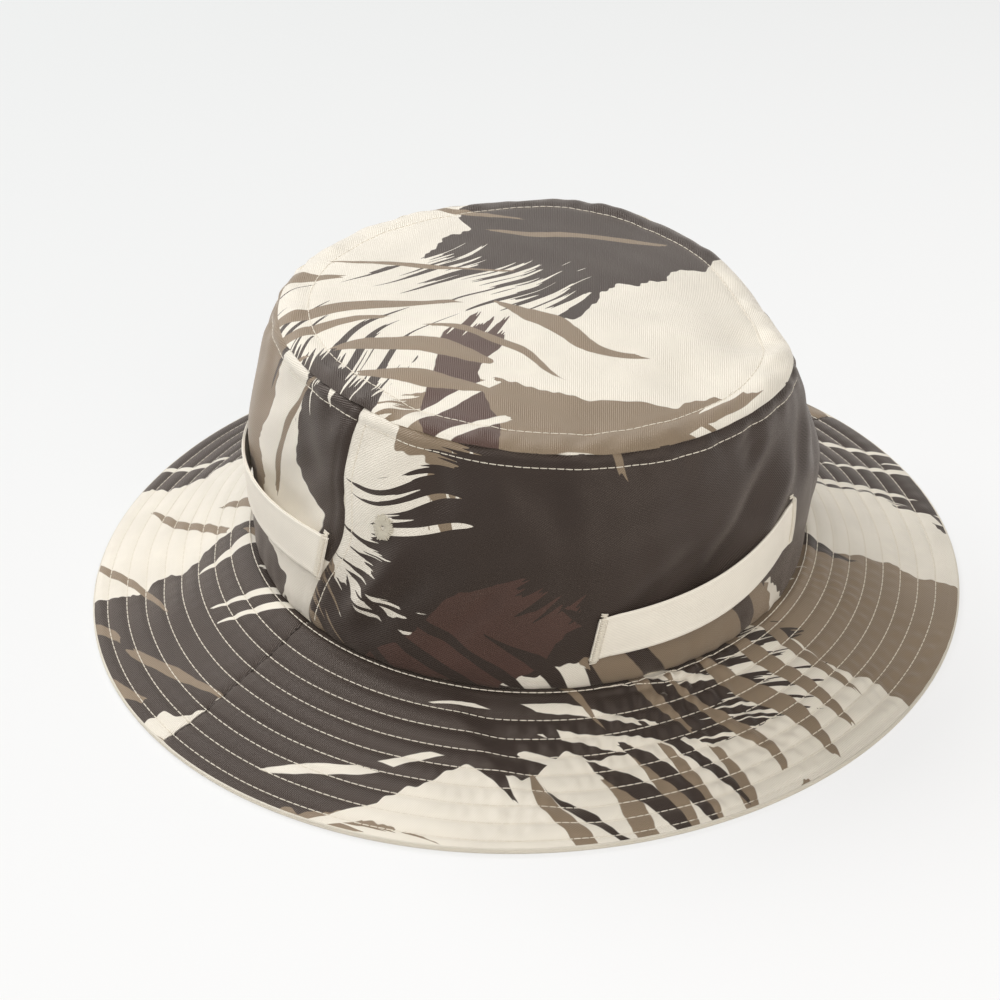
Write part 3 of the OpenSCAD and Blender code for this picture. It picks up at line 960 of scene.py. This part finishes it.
class HAT_OT_wall(bpy.types.Operator):
    """Makes the two wall panels"""

    bl_idname = "hat.wall"
    bl_label = "Wall panels"

    def execute(self, context):
        form = HatForm()
        size = form.size
        for half, edges in WALL_EDGES.items():
            start, stop = edges[0] + BUTT_GAP / form.mean_r, edges[1] - BUTT_GAP / form.mean_r

            def place(u, v):
                a, h = mix(start, stop, u), v * size.wall_h
                return form.wall(a, h, wall_lift(form, a, h, edges))

            def flat(u, v):
                radius = mix(size.seam_w + size.seam_l, size.top_w + size.top_l, v) / 4
                return on_roll((u - 0.5) * math.pi * radius, v * size.wall_h, *ROLL["wall_" + half])

            piece = cloth("wall_panel_" + half, "wall", place, flat, size.twill_t, looks=2)
            finish_piece(piece, "printed_twill", HatLooks.both_sides(), "wall_" + half)
            box = (math.pi * form.mean_r, size.wall_h + 2 * size.wall_bow)
        return {"FINISHED"}


def brim_flat(form, half, a, s):
    """Flat lay of a brim half, as the ring sector that it is cut as."""
    middle = sum(WALL_EDGES[half]) / 2
    radius = form.mean_r + s * EVEN_SLOPE
    spread = (a - middle) * BRIM_CONE
    return on_roll(radius * np.sin(spread), -radius * np.cos(spread), *ROLL["brim_" + half])


# Thickness of the facing as a share of the twill's
FACING_SHARE = 0.45
# The rim's bead: share of the facing's rows, how far it turns past the top, its reach, and how deep the
# groove along it is
BEAD_SHARE = 0.12
BEAD_OVER = 0.30
RIM_BEAD = 0.75 * MM
RIM_GROOVE = 0.32
# How far the brim's upper cloth runs in under the wall
UNDER_WALL = 2.6 * MM


class HAT_OT_brim(bpy.types.Operator):
    """Makes the brim: upper cloth, stiffener, and the facing that turns round the rim"""

    bl_idname = "hat.brim"
    bl_label = "Brim"

    def execute(self, context):
        form = HatForm()
        for half in WALL_EDGES:
            self.upper(form, half)
            self.stiffener(form, half)
            self.facing(form, half)
        return {"FINISHED"}

    def angles(self, form, half, u):
        """Angles round a brim half, from seam to seam."""
        edges = WALL_EDGES[half]
        gap = BUTT_GAP / form.mean_r
        return mix(edges[0] + gap, edges[1] - gap, u)

    def sector(self, form):
        """Flat box and area of a brim half."""
        inner, outer = form.mean_r, form.mean_r + BRIM_CUT
        return (2 * outer, outer), math.pi / 2 * BRIM_CONE * (outer ** 2 - inner ** 2)

    def upper(self, form, half):
        """The printed upper cloth, puckered between its stitch rows."""
        size = form.size
        edges = WALL_EDGES[half]

        def place(u, v):
            a = self.angles(form, half, u)
            slope = form.brim_slope(a)
            s = mix(1 - RIM_BEAD / slope, -UNDER_WALL / slope, v)
            side = np.minimum(a - edges[0], edges[1] - a) * (form.mean_r + s * slope)
            lift = form.ply_out + brim_lift(form, a, s)
            lift -= 1.8 * EDGE_TURN * np.exp(-np.maximum(s, 0) * slope / EDGE_REACH)
            lift -= 0.45 * np.maximum(-s, 0) * slope
            lift -= 0.25 * EDGE_TURN * np.exp(-(1 - s) * slope / EDGE_REACH)
            lift -= 0.6 * EDGE_TURN * np.exp(-side / EDGE_REACH)
            return form.brim(a, s, lift)

        def flat(u, v):
            return brim_flat(form, half, self.angles(form, half, u), 1 - v)

        piece = cloth("brim_cloth_" + half, "brim", place, flat, size.twill_t, looks=2)
        finish_piece(piece, "printed_twill", HatLooks.both_sides(), "brim_top_" + half)
        box, area = self.sector(form)

    def stiffener(self, form, half):
        """The interlining between the two cloths."""
        size = form.size

        def place(u, v):
            a = self.angles(form, half, u)
            inset = size.stiffener_inset / form.brim_slope(a)
            return form.brim(a, mix(1 - inset, inset, v), size.stiffener_t / 2 + 0 * a)

        def flat(u, v):
            return brim_flat(form, half, self.angles(form, half, u), 1 - v)

        piece = cloth("brim_interlining_" + half, "stiffener", place, flat, size.stiffener_t)
        finish_piece(piece, "interlining", [HatLooks.get("interlining")], "brim_stiffener_" + half)
        box, area = self.sector(form)

    def facing(self, form, half):
        """The plain lower cloth, whose edge turns up round the rim as a bead."""
        size = form.size
        edges = WALL_EDGES[half]

        def place(u, v):
            a = self.angles(form, half, u)
            slope = form.brim_slope(a)
            flat_part = np.clip(v / (1 - BEAD_SHARE), 0, 1)
            s = flat_part * (1 - RIM_BEAD / slope)
            side = np.minimum(a - edges[0], edges[1] - a) * (form.mean_r + s * slope)
            lift = -form.ply_out - brim_lift(form, a, s) * (1 - smooth(0.96, 1, flat_part))
            lift -= 0.4 * EDGE_TURN * np.exp(-s * slope / EDGE_REACH)
            lift += 0.4 * EDGE_TURN * np.exp(-side / EDGE_REACH)
            rounding = np.clip((v - 1 + BEAD_SHARE) / BEAD_SHARE, 0, 1) * math.pi * (1 + BEAD_OVER)
            full = 1 - RIM_GROOVE * bell(rounding - 0.70 * math.pi, 0.22)
            s = s + RIM_BEAD / slope * np.sin(rounding) * full
            lift = np.where(rounding > 0, -form.ply_out * np.cos(rounding) * full, lift)
            return form.brim(a, s, lift)

        def flat(u, v):
            return brim_flat(form, half, self.angles(form, half, u), v)

        piece = cloth("brim_facing_" + half, "facing", place, flat, FACING_SHARE * size.twill_t)
        finish_piece(piece, "plain_twill", [HatLooks.get("facing")], "brim_under_" + half)
        box, area = self.sector(form)


# The sweatband: how far it hangs below the seam, its room to the wall, its slack where the wall is dented,
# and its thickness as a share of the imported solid's
BAND_HEM = 1.0 * MM
BAND_ROOM = 0.4 * MM
DENT_SLACK = 1.5 * MM
BAND_SHARE = 0.6
# The crown tape: its drop below the top seam, its inset from the top's edge, and its room to wall and top
BINDING_DROP = 1.2 * MM
BINDING_INSET = 1.7 * MM
BINDING_ROOM_WALL = 1.0 * MM
BINDING_ROOM_TOP = 1.2 * MM
# The side tapes: how far they end below the crown tape, their room to the wall, and how much more of it they
# have towards the top
SIDE_TAPE_SHORT = 2 * MM
SIDE_TAPE_ROOM = 0.1 * MM
SIDE_TAPE_MORE = 0.4 * MM
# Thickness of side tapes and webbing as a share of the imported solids'
SOFT_SHARE = 0.8


class HAT_OT_inside(bpy.types.Operator):
    """Makes the sweatband and the tapes over the inner seams"""

    bl_idname = "hat.inside"
    bl_label = "Sweatband and tapes"

    def execute(self, context):
        form = HatForm()
        size = form.size
        tape = [HatLooks.get("tape")]

        def band_place(u, v):
            a, h = -u * TURN, mix(-BAND_HEM, size.band_h, v)
            slack = np.abs(ripple(form.wall(a, h), BAND_BULGES)) * smooth(0.2, 1, v)
            for dent in WALL_DENTS:
                by_dent = bell(away(a, math.radians(dent.angle)), 1.6 * math.radians(dent.wide))
                slack = slack + DENT_SLACK * by_dent * smooth(0.05, 0.5, v)
            return form.wall(a, h, -form.band_depth - BAND_ROOM - slack)

        def band_flat(u, v):
            return np.stack([u * TURN * form.mean_r, v * size.band_h], -1)

        thick = size.band_t * BAND_SHARE
        piece = cloth("sweatband_tape", "band", band_place, band_flat, thick, closed=True)
        finish_piece(piece, "cotton_tape", tape, "sweatband")
        TURN * form.mean_r

        leg = size.crown_tape_leg
        corner = 1 - leg / ((size.top_w + size.top_l) / 4)

        def binding_place(u, v):
            a = -u * TURN
            h = size.wall_h - leg * np.clip(1 - 2 * v, 0, 1) - BINDING_DROP
            low = form.wall(a, h, -form.tape_depth - BINDING_ROOM_WALL)
            k = mix(1 - 2 * BINDING_INSET / size.top_w, corner, np.clip(2 * v - 1, 0, 1))
            high = form.top(a + size.seam_twist, k, -form.tape_depth - BINDING_ROOM_TOP)
            return np.where((v < 0.5)[:, None], low, high)

        def binding_flat(u, v):
            return np.stack([u * TURN * form.mean_r, v * 2 * leg], -1)

        piece = cloth("crown_seam_binding", "binding", binding_place, binding_flat, size.tape_t, closed=True)
        finish_piece(piece, "cotton_tape", tape, "crown_seam_tape")
        TURN * form.mean_r * 0.86
        2 * leg

        for side, seam in (("right", RIGHT_SEAM), ("left", LEFT_SEAM)):
            top_edge = size.wall_h - leg - SIDE_TAPE_SHORT

            def tape_place(u, v):
                a = seam - (u - 0.5) * size.tape_w / form.mean_r
                room = SIDE_TAPE_ROOM + SIDE_TAPE_MORE * smooth(0.4, 0.8, v)
                return form.wall(a, v * top_edge, -form.tape_depth - room)

            def tape_flat(u, v):
                return np.stack([u * size.tape_w, v * top_edge], -1)

            thick = size.tape_t * SOFT_SHARE
            piece = cloth("side_seam_binding_" + side, "side tape", tape_place, tape_flat, thick)
            finish_piece(piece, "cotton_tape", tape, "side_seam_tape_" + side)
        return {"FINISHED"}


def loop_lift(form, loop, t, v):
    """How far a loop's inner face stands off the wall: flat at both sewn ends, slack between."""
    size = form.size
    tab = size.loop_tab / ((loop.stop - loop.start) * form.mean_r)
    free = np.sin(math.pi * np.clip((t - tab) / (1 - 2 * tab), 0, 1))
    return size.ply_gap + loop.slack * free + loop.flare * MM * (v - 0.5) * free


# The webbing's edges: a cord along each, with its height, inset and width, and how they round off
CORD_HIGH = 0.18 * MM
CORD_IN = 0.9 * MM
CORD_WIDE = 0.7 * MM
ROUND_DROP = 0.25 * MM
ROUND_REACH = 0.4 * MM


class HAT_OT_loops(bpy.types.Operator):
    """Makes the three webbing loops"""

    bl_idname = "hat.loops"
    bl_label = "Webbing loops"

    def execute(self, context):
        form = HatForm()
        size = form.size
        for side, loop in form.loops.items():
            run = (loop.stop - loop.start) * form.mean_r

            def place(u, v):
                a = mix(loop.start, loop.stop, u)
                h = mix(loop.low_start, loop.low_stop, u) + v * size.loop_w
                edge = np.minimum(v, 1 - v) * size.loop_w
                lift = loop_lift(form, loop, u, v) + size.loop_t
                lift = lift + CORD_HIGH * bell(edge - CORD_IN, CORD_WIDE)
                lift = lift - ROUND_DROP * np.exp(-edge / ROUND_REACH)
                return form.wall(a, h, lift, taut=True)

            def flat(u, v):
                return np.stack([u * run, v * size.loop_w], -1)

            piece = cloth("webbing_" + side, "webbing", place, flat, size.loop_t * SOFT_SHARE)
            finish_piece(piece, "webbing", [HatLooks.get("webbing")], "loop_" + side)
        return {"FINISHED"}


STITCH_SIDES = 6
STITCH_RINGS = 5
# How uneven the stitches are, as a share of a stitch
JITTER = 0.06
# Radius of the thread of tacks and eyelets
THICK_THREAD = 0.30 * MM


def stitch_shape():
    """One stitch, modelled once: corners with Z along the thread, and faces."""
    bpy.ops.object.select_all(action="DESELECT")
    bpy.ops.mesh.primitive_uv_sphere_add(segments=STITCH_SIDES, ring_count=STITCH_RINGS, radius=1)
    model = bpy.context.active_object
    corners = np.array([v.co for v in model.data.vertices])
    faces = [tuple(p.vertices) for p in model.data.polygons]
    bpy.data.meshes.remove(model.data)
    return corners, faces


def sew(name, starts, ends, normals, radius, sink=0.15, bow=0.5):
    """A row of stitches as one piece: each lies between two points of the cloth, and its ends dip into it."""
    corners, faces = stitch_shape()
    run = ends - starts
    reach = np.linalg.norm(run, axis=-1, keepdims=True)
    along = run / reach
    side = unit(np.cross(normals, along))
    up = np.cross(along, side)
    x, y, z = corners.T
    spread = np.maximum(np.hypot(x, y), 1e-6)
    fuller = np.where(spread > 0.1, spread ** -0.85, 0.0)
    x, y = x * fuller, y * fuller
    rise = (bow * (1 - z ** 4) - sink + 0.8 * y) * radius
    points = (
        (starts + run / 2)[:, None]
        + (z[:, None] * 0.5)[None] * run[:, None]
        + (x[:, None] * radius)[None] * side[:, None]
        + rise[None, :, None] * up[:, None]
    )
    points[..., 2] = np.maximum(points[..., 2], 0)
    count = len(starts)
    shifted = [tuple(i * len(corners) + c for c in face) for i in range(count) for face in faces]
    mesh = bpy.data.meshes.new(name)
    mesh.from_pydata(points.reshape(-1, 3), [], shifted)
    mesh.polygons.foreach_set("use_smooth", np.ones(len(mesh.polygons), bool))
    mesh.update()
    piece = bpy.data.objects.new(name, mesh)
    bpy.context.scene.collection.objects.link(piece)
    return piece


def normals_of(surface, u, v, outwards=1.0):
    """Normals of a surface at places u, v."""
    step = 1e-4
    along = surface(u + step, v) - surface(u - step, v)
    across = surface(u, v + step) - surface(u, v - step)
    return unit(np.cross(along, across)) * outwards


def row_of(surface, u, v, form, seed, outwards=1.0):
    """Ends and normals of the stitches along a line of places on a surface."""
    points = surface(u, v)
    steps = np.linalg.norm(np.diff(points, axis=0), axis=-1)
    far = np.concatenate([[0], np.cumsum(steps)])
    count = max(2, round(far[-1] / form.sewing.stitch))
    chance = np.random.default_rng(seed)
    at = np.arange(count + 1) * far[-1] / count
    at[1:-1] += chance.uniform(-JITTER, JITTER, count - 1) * form.sewing.stitch
    gap = form.sewing.stitch_gap / 2
    first_u = np.interp(at[:-1] + gap, far, u)
    first_v = np.interp(at[:-1] + gap, far, v)
    last_u = np.interp(at[1:] - gap, far, u)
    last_v = np.interp(at[1:] - gap, far, v)
    normals = normals_of(surface, (first_u + last_u) / 2, (first_v + last_v) / 2, outwards)
    return surface(first_u, first_v), surface(last_u, last_v), normals


def sew_rows(name, rows, form, look="thread"):
    """Several stitch rows as one piece."""
    starts, ends, normals = (np.concatenate(part) for part in zip(*rows))
    piece = sew(name, starts, ends, normals, form.sewing.thread_r)
    return finish_piece(piece, "thread", [HatLooks.get(look)])


# Points along a line of stitches, before it is cut into stitches
ROW_POINTS = 1400
# How far from the side seams the wall's upper row ends, in radians, and from which height the side rows start
ROW_END = 0.004
ROW_FOOT = 2.5 * MM
# Inside: height of the sweatband's row, and the room between the crown tape's row and the wall
BAND_ROW = 2 * MM
BINDING_ROW_ROOM = 0.5 * MM
# The rows in the brim's side seams: their distance from the seam, how deep they lie, and their run
SEAM_BESIDE = 0.6 * MM
SEAM_DEEP = 0.35 * MM
SEAM_RUN = (0.04, 0.965)


class HAT_OT_stitching(bpy.types.Operator):
    """Sews the stitch rows"""

    bl_idname = "hat.stitching"
    bl_label = "Stitching"

    def execute(self, context):
        form = HatForm()
        self.brim_rows(form)
        self.wall_rows(form)
        self.top_row(form)
        self.side_rows(form)
        return {"FINISHED"}

    def brim_rows(self, form):
        """The brim's spiral row and edge row, above and below."""
        sewing = form.sewing
        turn = np.linspace(0, sewing.spiral_turns, int(ROW_POINTS * sewing.spiral_turns))
        a = sewing.spiral_from + turn * TURN
        slope = form.brim_slope(a)
        s = spiral_far(form, turn, slope) / slope
        whole = np.linspace(0, TURN, ROW_POINTS)
        edge = sewing.edge_row / form.brim_slope(whole)

        def upper(a, s):
            return form.brim(a, s, form.ply_out + brim_lift(form, a, s))

        def lower(a, s):
            return form.brim(a, s, -form.ply_out - brim_lift(form, a, s))

        above = [row_of(upper, a, s, form, 1, -1.0), row_of(upper, whole, edge, form, 2, -1.0)]
        below = [row_of(lower, a, s, form, 3, 1.0), row_of(lower, whole, edge, form, 4, 1.0)]
        sew_rows("brim_stitches", above, form)
        sew_rows("brim_stitches_under", below, form)

    def wall_rows(self, form):
        """The wall's upper row, and the rows of sweatband and crown tape inside."""
        size, sewing = form.size, form.sewing

        def outer(a, h):
            half = WALL_EDGES["front"] if np.mean(a) > math.pi else WALL_EDGES["back"]
            return form.wall(a, h, wall_lift(form, a, h, half))

        def inner(depth):
            def surface(a, h):
                return form.wall(a, h, -depth + 0 * a)
            return surface

        rows, backs = [], []
        for start, stop in WALL_EDGES.values():
            a = np.linspace(start + ROW_END, stop - ROW_END, ROW_POINTS)
            rows.append(row_of(outer, a, 0 * a + size.wall_h - sewing.high_row, form, 40))
        a = np.linspace(0, TURN, ROW_POINTS)
        band = form.band_depth + BAND_ROOM + size.band_t * BAND_SHARE
        binding = form.tape_depth + BINDING_ROW_ROOM + size.tape_t
        backs.append(row_of(inner(band), a, 0 * a + BAND_ROW, form, 50, -1.0))
        backs.append(row_of(inner(binding), a, 0 * a + size.wall_h - sewing.high_row, form, 51, -1.0))
        sew_rows("wall_stitches", rows, form)
        sew_rows("wall_stitches_inside", backs, form)

    def top_row(self, form):
        """The row round the top panel."""
        size = form.size
        k = 1 - form.sewing.top_row / ((size.top_w + size.top_l) / 4)
        a = np.linspace(0, TURN, ROW_POINTS)

        def outer(a, k):
            return form.top(a, k, top_lift(form, a, k))

        rows = [row_of(outer, a, 0 * a + k, form, 60, -1.0)]
        sew_rows("top_stitches", rows, form)

    def side_rows(self, form):
        """The rows beside the wall's side seams, and the dark rows in the brim's."""
        size, sewing = form.size, form.sewing
        edges = WALL_EDGES["front"]

        def outer(a, h):
            return form.wall(a, h, wall_lift(form, a, h, edges))

        h = np.linspace(ROW_FOOT, size.wall_h - sewing.high_row, ROW_POINTS)
        offset = sewing.side_row / form.mean_r
        rows = [
            row_of(outer, 0 * h + RIGHT_SEAM + offset, h, form, 70),
            row_of(outer, 0 * h + LEFT_SEAM - offset, h, form, 71),
        ]
        sew_rows("side_seam_stitches", rows, form)

        def upper(a, s):
            return form.brim(a, s, form.ply_out + brim_lift(form, a, s) - SEAM_DEEP)

        s = np.linspace(*SEAM_RUN, ROW_POINTS)
        beside = SEAM_BESIDE / form.mean_r
        brim = [
            row_of(upper, 0 * s + RIGHT_SEAM + beside, s, form, 80, -1.0),
            row_of(upper, 0 * s + LEFT_SEAM - beside, s, form, 81, -1.0),
        ]
        sew_rows("brim_seam_stitches", brim, form, "dark thread")


# A bar tack: stitches in its zigzag, its room over the webbing, and how it steps up at the webbing's edges
TACK_ZIGS = 44
TACK_ROOM = 0.1 * MM
TACK_STEP = (-0.6 * MM, 0.4 * MM)


class HAT_OT_tacks(bpy.types.Operator):
    """Sews the bar tacks over the loops' ends"""

    bl_idname = "hat.tacks"
    bl_label = "Bar tacks"

    def execute(self, context):
        form = HatForm()
        size = form.size
        ends = {
            "front_right": ("front", 0), "front_left": ("front", 1),
            "right_back": ("right", 0), "right_front": ("right", 1),
            "left_front": ("left", 0), "left_back": ("left", 1),
        }
        for name, (loop_name, end) in ends.items():
            loop = form.loops[loop_name]
            inset = size.tack_in / form.mean_r
            middle = loop.stop - inset if end else loop.start + inset
            low = loop.low_stop if end else loop.low_start
            rise = np.linspace(-size.tack_over, size.loop_w + size.tack_over, TACK_ZIGS + 1)
            zig = np.where(np.arange(TACK_ZIGS + 1) % 2 == 0, -0.5, 0.5) * size.tack_w

            def surface(a, h):
                over = smooth(*TACK_STEP, h - low) * smooth(*TACK_STEP, low + size.loop_w - h)
                return form.wall(a, h, size.ply_gap + (size.loop_t + TACK_ROOM) * over, taut=True)

            a = middle + zig / form.mean_r
            h = low + rise
            points = surface(a, h)
            normals = normals_of(surface, (a[1:] + a[:-1]) / 2, (h[1:] + h[:-1]) / 2)
            piece = sew("bar_tack_" + name, points[:-1], points[1:], normals, THICK_THREAD, sink=0.0, bow=0.8)
            finish_piece(piece, "thread", [HatLooks.get("thread")], "tack_" + name)
        return {"FINISHED"}


# An eyelet: its threads, how unevenly they stand round it, their room over the wall, and at the hole and at
# the outer edge how far inside they end and how unevenly
EYELET_THREADS = 40
EYELET_UNEVEN = 0.03
EYELET_ROOM = 0.10 * MM
EYELET_HOLE = (0.3 * MM, 0.2)
EYELET_EDGE = (0.4 * MM, 0.09)


class HAT_OT_eyelets(bpy.types.Operator):
    """Embroiders the vent eyelets"""

    bl_idname = "hat.eyelets"
    bl_label = "Eyelets"

    def execute(self, context):
        form = HatForm()
        size = form.size
        offset = size.eyelet_off / form.mean_r
        for side, middle in (("right", RIGHT_SEAM + offset), ("left", LEFT_SEAM - offset)):
            chance = np.random.default_rng(5)
            around = np.arange(EYELET_THREADS) * TURN / EYELET_THREADS
            around = around + chance.uniform(-EYELET_UNEVEN, EYELET_UNEVEN, EYELET_THREADS)

            def surface(a, h):
                return form.wall(a, h, wall_lift(form, a, h, WALL_EDGES["front"]) + EYELET_ROOM)

            def ring(width, inside, uneven):
                spread = (width / 2 - inside) * (1 + chance.uniform(-uneven, uneven, EYELET_THREADS))
                a = middle + spread * np.cos(around) / form.mean_r
                return a, size.eyelet_rise + spread * np.sin(around)

            inner = ring(size.eyelet_hole_d, *EYELET_HOLE)
            outer = ring(size.eyelet_d, *EYELET_EDGE)
            normals = normals_of(surface, (inner[0] + outer[0]) / 2, (inner[1] + outer[1]) / 2)
            starts, ends = surface(*inner), surface(*outer)
            piece = sew("vent_eyelet_" + side, starts, ends, normals, THICK_THREAD, sink=0.2, bow=0.9)
            finish_piece(piece, "thread", [HatLooks.get("embroidery")], "eyelet_" + side)
        return {"FINISHED"}


# The camera's place, the point that it faces, and its lens in millimetres
CAMERA_AT = (-0.4410, -0.5097, 0.4762)
CAMERA_TO = (-0.0127, 0.0007, 0.0335)
LENS = 83.8
FLOOR_SIZE = 12.0
# Painted shade: the backdrop glows a little darker far behind the hat. Metres of the change, and both tints
FLOOR_FADE = (-0.30, 0.75)
FLOOR_NEAR = (1.02, 1.02, 1.02, 1)
FLOOR_FAR = (0.74, 0.757, 0.754, 1)
# Share of the backdrop's own tint in the floor by the hat, where shadows fall, and the metres from the hat
# over which the floor turns into plain backdrop
FLOOR_SHARE = 0.66
FLOOR_BARE = (1.0, 2.6)
FLOOR_PAPER = (0.84, 0.845, 0.85, 1)
BACKDROP = (0.87, 0.885, 0.885, 1)
SKY = (1.0, 0.985, 0.955, 1)
SKY_STRENGTH = 0.31
# Soft lamps: place, width and height in metres, watts, and colour
LAMPS = {
    "softbox_back": ((-0.20, 1.05, 1.15), (1.5, 0.7), 19.5, (1.0, 1.0, 1.0)),
    "fill_front": ((-0.55, -1.3, 1.25), (1.4, 1.4), 18.5, (1.0, 0.945, 0.875)),
}
LAMPS_AIM = (0, 0, 0.05)


class HAT_OT_stage(bpy.types.Operator):
    """Sets up the floor, the light and the camera"""

    bl_idname = "hat.stage"
    bl_label = "Stage"

    def execute(self, context):
        self.floor()
        self.lights()
        self.camera()
        context.scene.view_settings.view_transform = "Standard"
        return {"FINISHED"}

    def seen(self, look):
        """1 where the backdrop is seen directly or in a reflection, and 0 where it only lights things."""
        path = look.tree.nodes.new("ShaderNodeLightPath")
        seen = Wire(look, path.outputs["Is Camera Ray"])
        for name in ("Is Glossy Ray", "Is Transmission Ray"):
            seen = seen.most(Wire(look, path.outputs[name]))
        return seen

    def floor(self):
        """A wide sheet of pale paper, which shows soft shadows by the hat and plain backdrop far from it."""
        bpy.ops.object.select_all(action="DESELECT")
        bpy.ops.mesh.primitive_plane_add(size=FLOOR_SIZE, location=(0, 0, 0))
        floor = bpy.context.active_object
        floor.name = "floor"
        look = Look(bpy.data.materials.new("floor_paper"))
        paper = look.node("ShaderNodeBsdfDiffuse", {}, {"Color": FLOOR_PAPER})
        # Painted shade: the paper's glow darkens towards the back of the stage
        far = look.axis(look.place(), "Y").step(*FLOOR_FADE)
        tint = look.blend(far, FLOOR_NEAR, FLOOR_FAR)
        distance = look.node("ShaderNodeVectorMath", {"operation": "LENGTH"}, {0: look.place()}, "Value")
        bare = distance.step(*FLOOR_BARE)
        tint = look.blend(bare, tint, BACKDROP)
        glow = look.node("ShaderNodeEmission", {}, {"Color": tint, "Strength": 1.0})
        shown = self.seen(look) * (FLOOR_SHARE + bare * (1 - FLOOR_SHARE))
        both = look.node("ShaderNodeMixShader", {}, {0: shown, 1: paper, 2: glow})
        look.node("ShaderNodeOutputMaterial", {}, {"Surface": both})
        floor.data.materials.append(look.owner)

    def lights(self):
        """An even pale sky, and soft lamps."""
        world = bpy.data.worlds.new("studio")
        bpy.context.scene.world = world
        look = Look(world)
        sky = look.node("ShaderNodeBackground", {}, {"Color": SKY, "Strength": SKY_STRENGTH})
        paper = look.node("ShaderNodeBackground", {}, {"Color": BACKDROP, "Strength": 1.0})
        both = look.node("ShaderNodeMixShader", {}, {0: self.seen(look), 1: sky, 2: paper})
        look.node("ShaderNodeOutputWorld", {}, {"Surface": both})
        for name, lamp in LAMPS.items():
            self.lamp(name, *lamp)

    def lamp(self, name, at, size, power, tint):
        """A soft lamp that faces the hat."""
        data = bpy.data.lights.new(name, "AREA")
        data.shape = "RECTANGLE"
        data.size, data.size_y = size
        data.color = tint
        data.energy = power
        lamp = bpy.data.objects.new(name, data)
        lamp.location = at
        lamp.rotation_euler = look_along(np.array(LAMPS_AIM) - np.array(at))
        bpy.context.scene.collection.objects.link(lamp)

    def camera(self):
        """The photo's view."""
        data = bpy.data.cameras.new("photo_view")
        data.lens = LENS
        camera = bpy.data.objects.new("photo_view", data)
        camera.location = CAMERA_AT
        camera.rotation_euler = look_along(np.array(CAMERA_TO) - np.array(CAMERA_AT))
        bpy.context.scene.collection.objects.link(camera)
        bpy.context.scene.camera = camera


def look_along(way):
    """Turn of a lamp or camera that faces along a direction, upright."""
    flat = math.hypot(way[0], way[1])
    return math.atan2(flat, -way[2]), 0.0, math.atan2(way[1], way[0]) - math.pi / 2


class HAT_PT_panel(bpy.types.Panel):
    """Lists the hat's pieces"""

    bl_idname = "HAT_PT_panel"
    bl_label = "Bucket hat"
    bl_space_type = "VIEW_3D"
    bl_region_type = "UI"
    bl_category = "Hat"

    def draw(self, context):
        column = self.layout.column()
        for group in GROUPS:
            settings = getattr(context.scene, group)
            for name in settings.__annotations__:
                column.prop(settings, name)
        for piece in PIECES:
            column.operator(piece.bl_idname)


GROUPS = {"hat_sizes": HatSizes, "hat_sewing": HatSewing, "hat_colours": HatColours}
PIECES = (
    HAT_OT_stage, HAT_OT_top_panel, HAT_OT_wall, HAT_OT_brim, HAT_OT_inside, HAT_OT_loops,
    HAT_OT_stitching, HAT_OT_tacks, HAT_OT_eyelets,
)


def register():
    for kind in (*GROUPS.values(), *PIECES, HAT_PT_panel):
        bpy.utils.register_class(kind)
    for name, kind in GROUPS.items():
        setattr(bpy.types.Scene, name, bpy.props.PointerProperty(type=kind))


def unregister():
    for name in GROUPS:
        delattr(bpy.types.Scene, name)
    for kind in (HAT_PT_panel, *reversed(PIECES), *reversed(GROUPS.values())):
        bpy.utils.unregister_class(kind)


def main():
    register()
    bpy.ops.hat.stage()
    bpy.ops.hat.top_panel()
    bpy.ops.hat.wall()
    bpy.ops.hat.brim()
    bpy.ops.hat.inside()
    bpy.ops.hat.loops()
    bpy.ops.hat.stitching()
    bpy.ops.hat.tacks()
    bpy.ops.hat.eyelets()


if __name__ == "__main__":
    main()
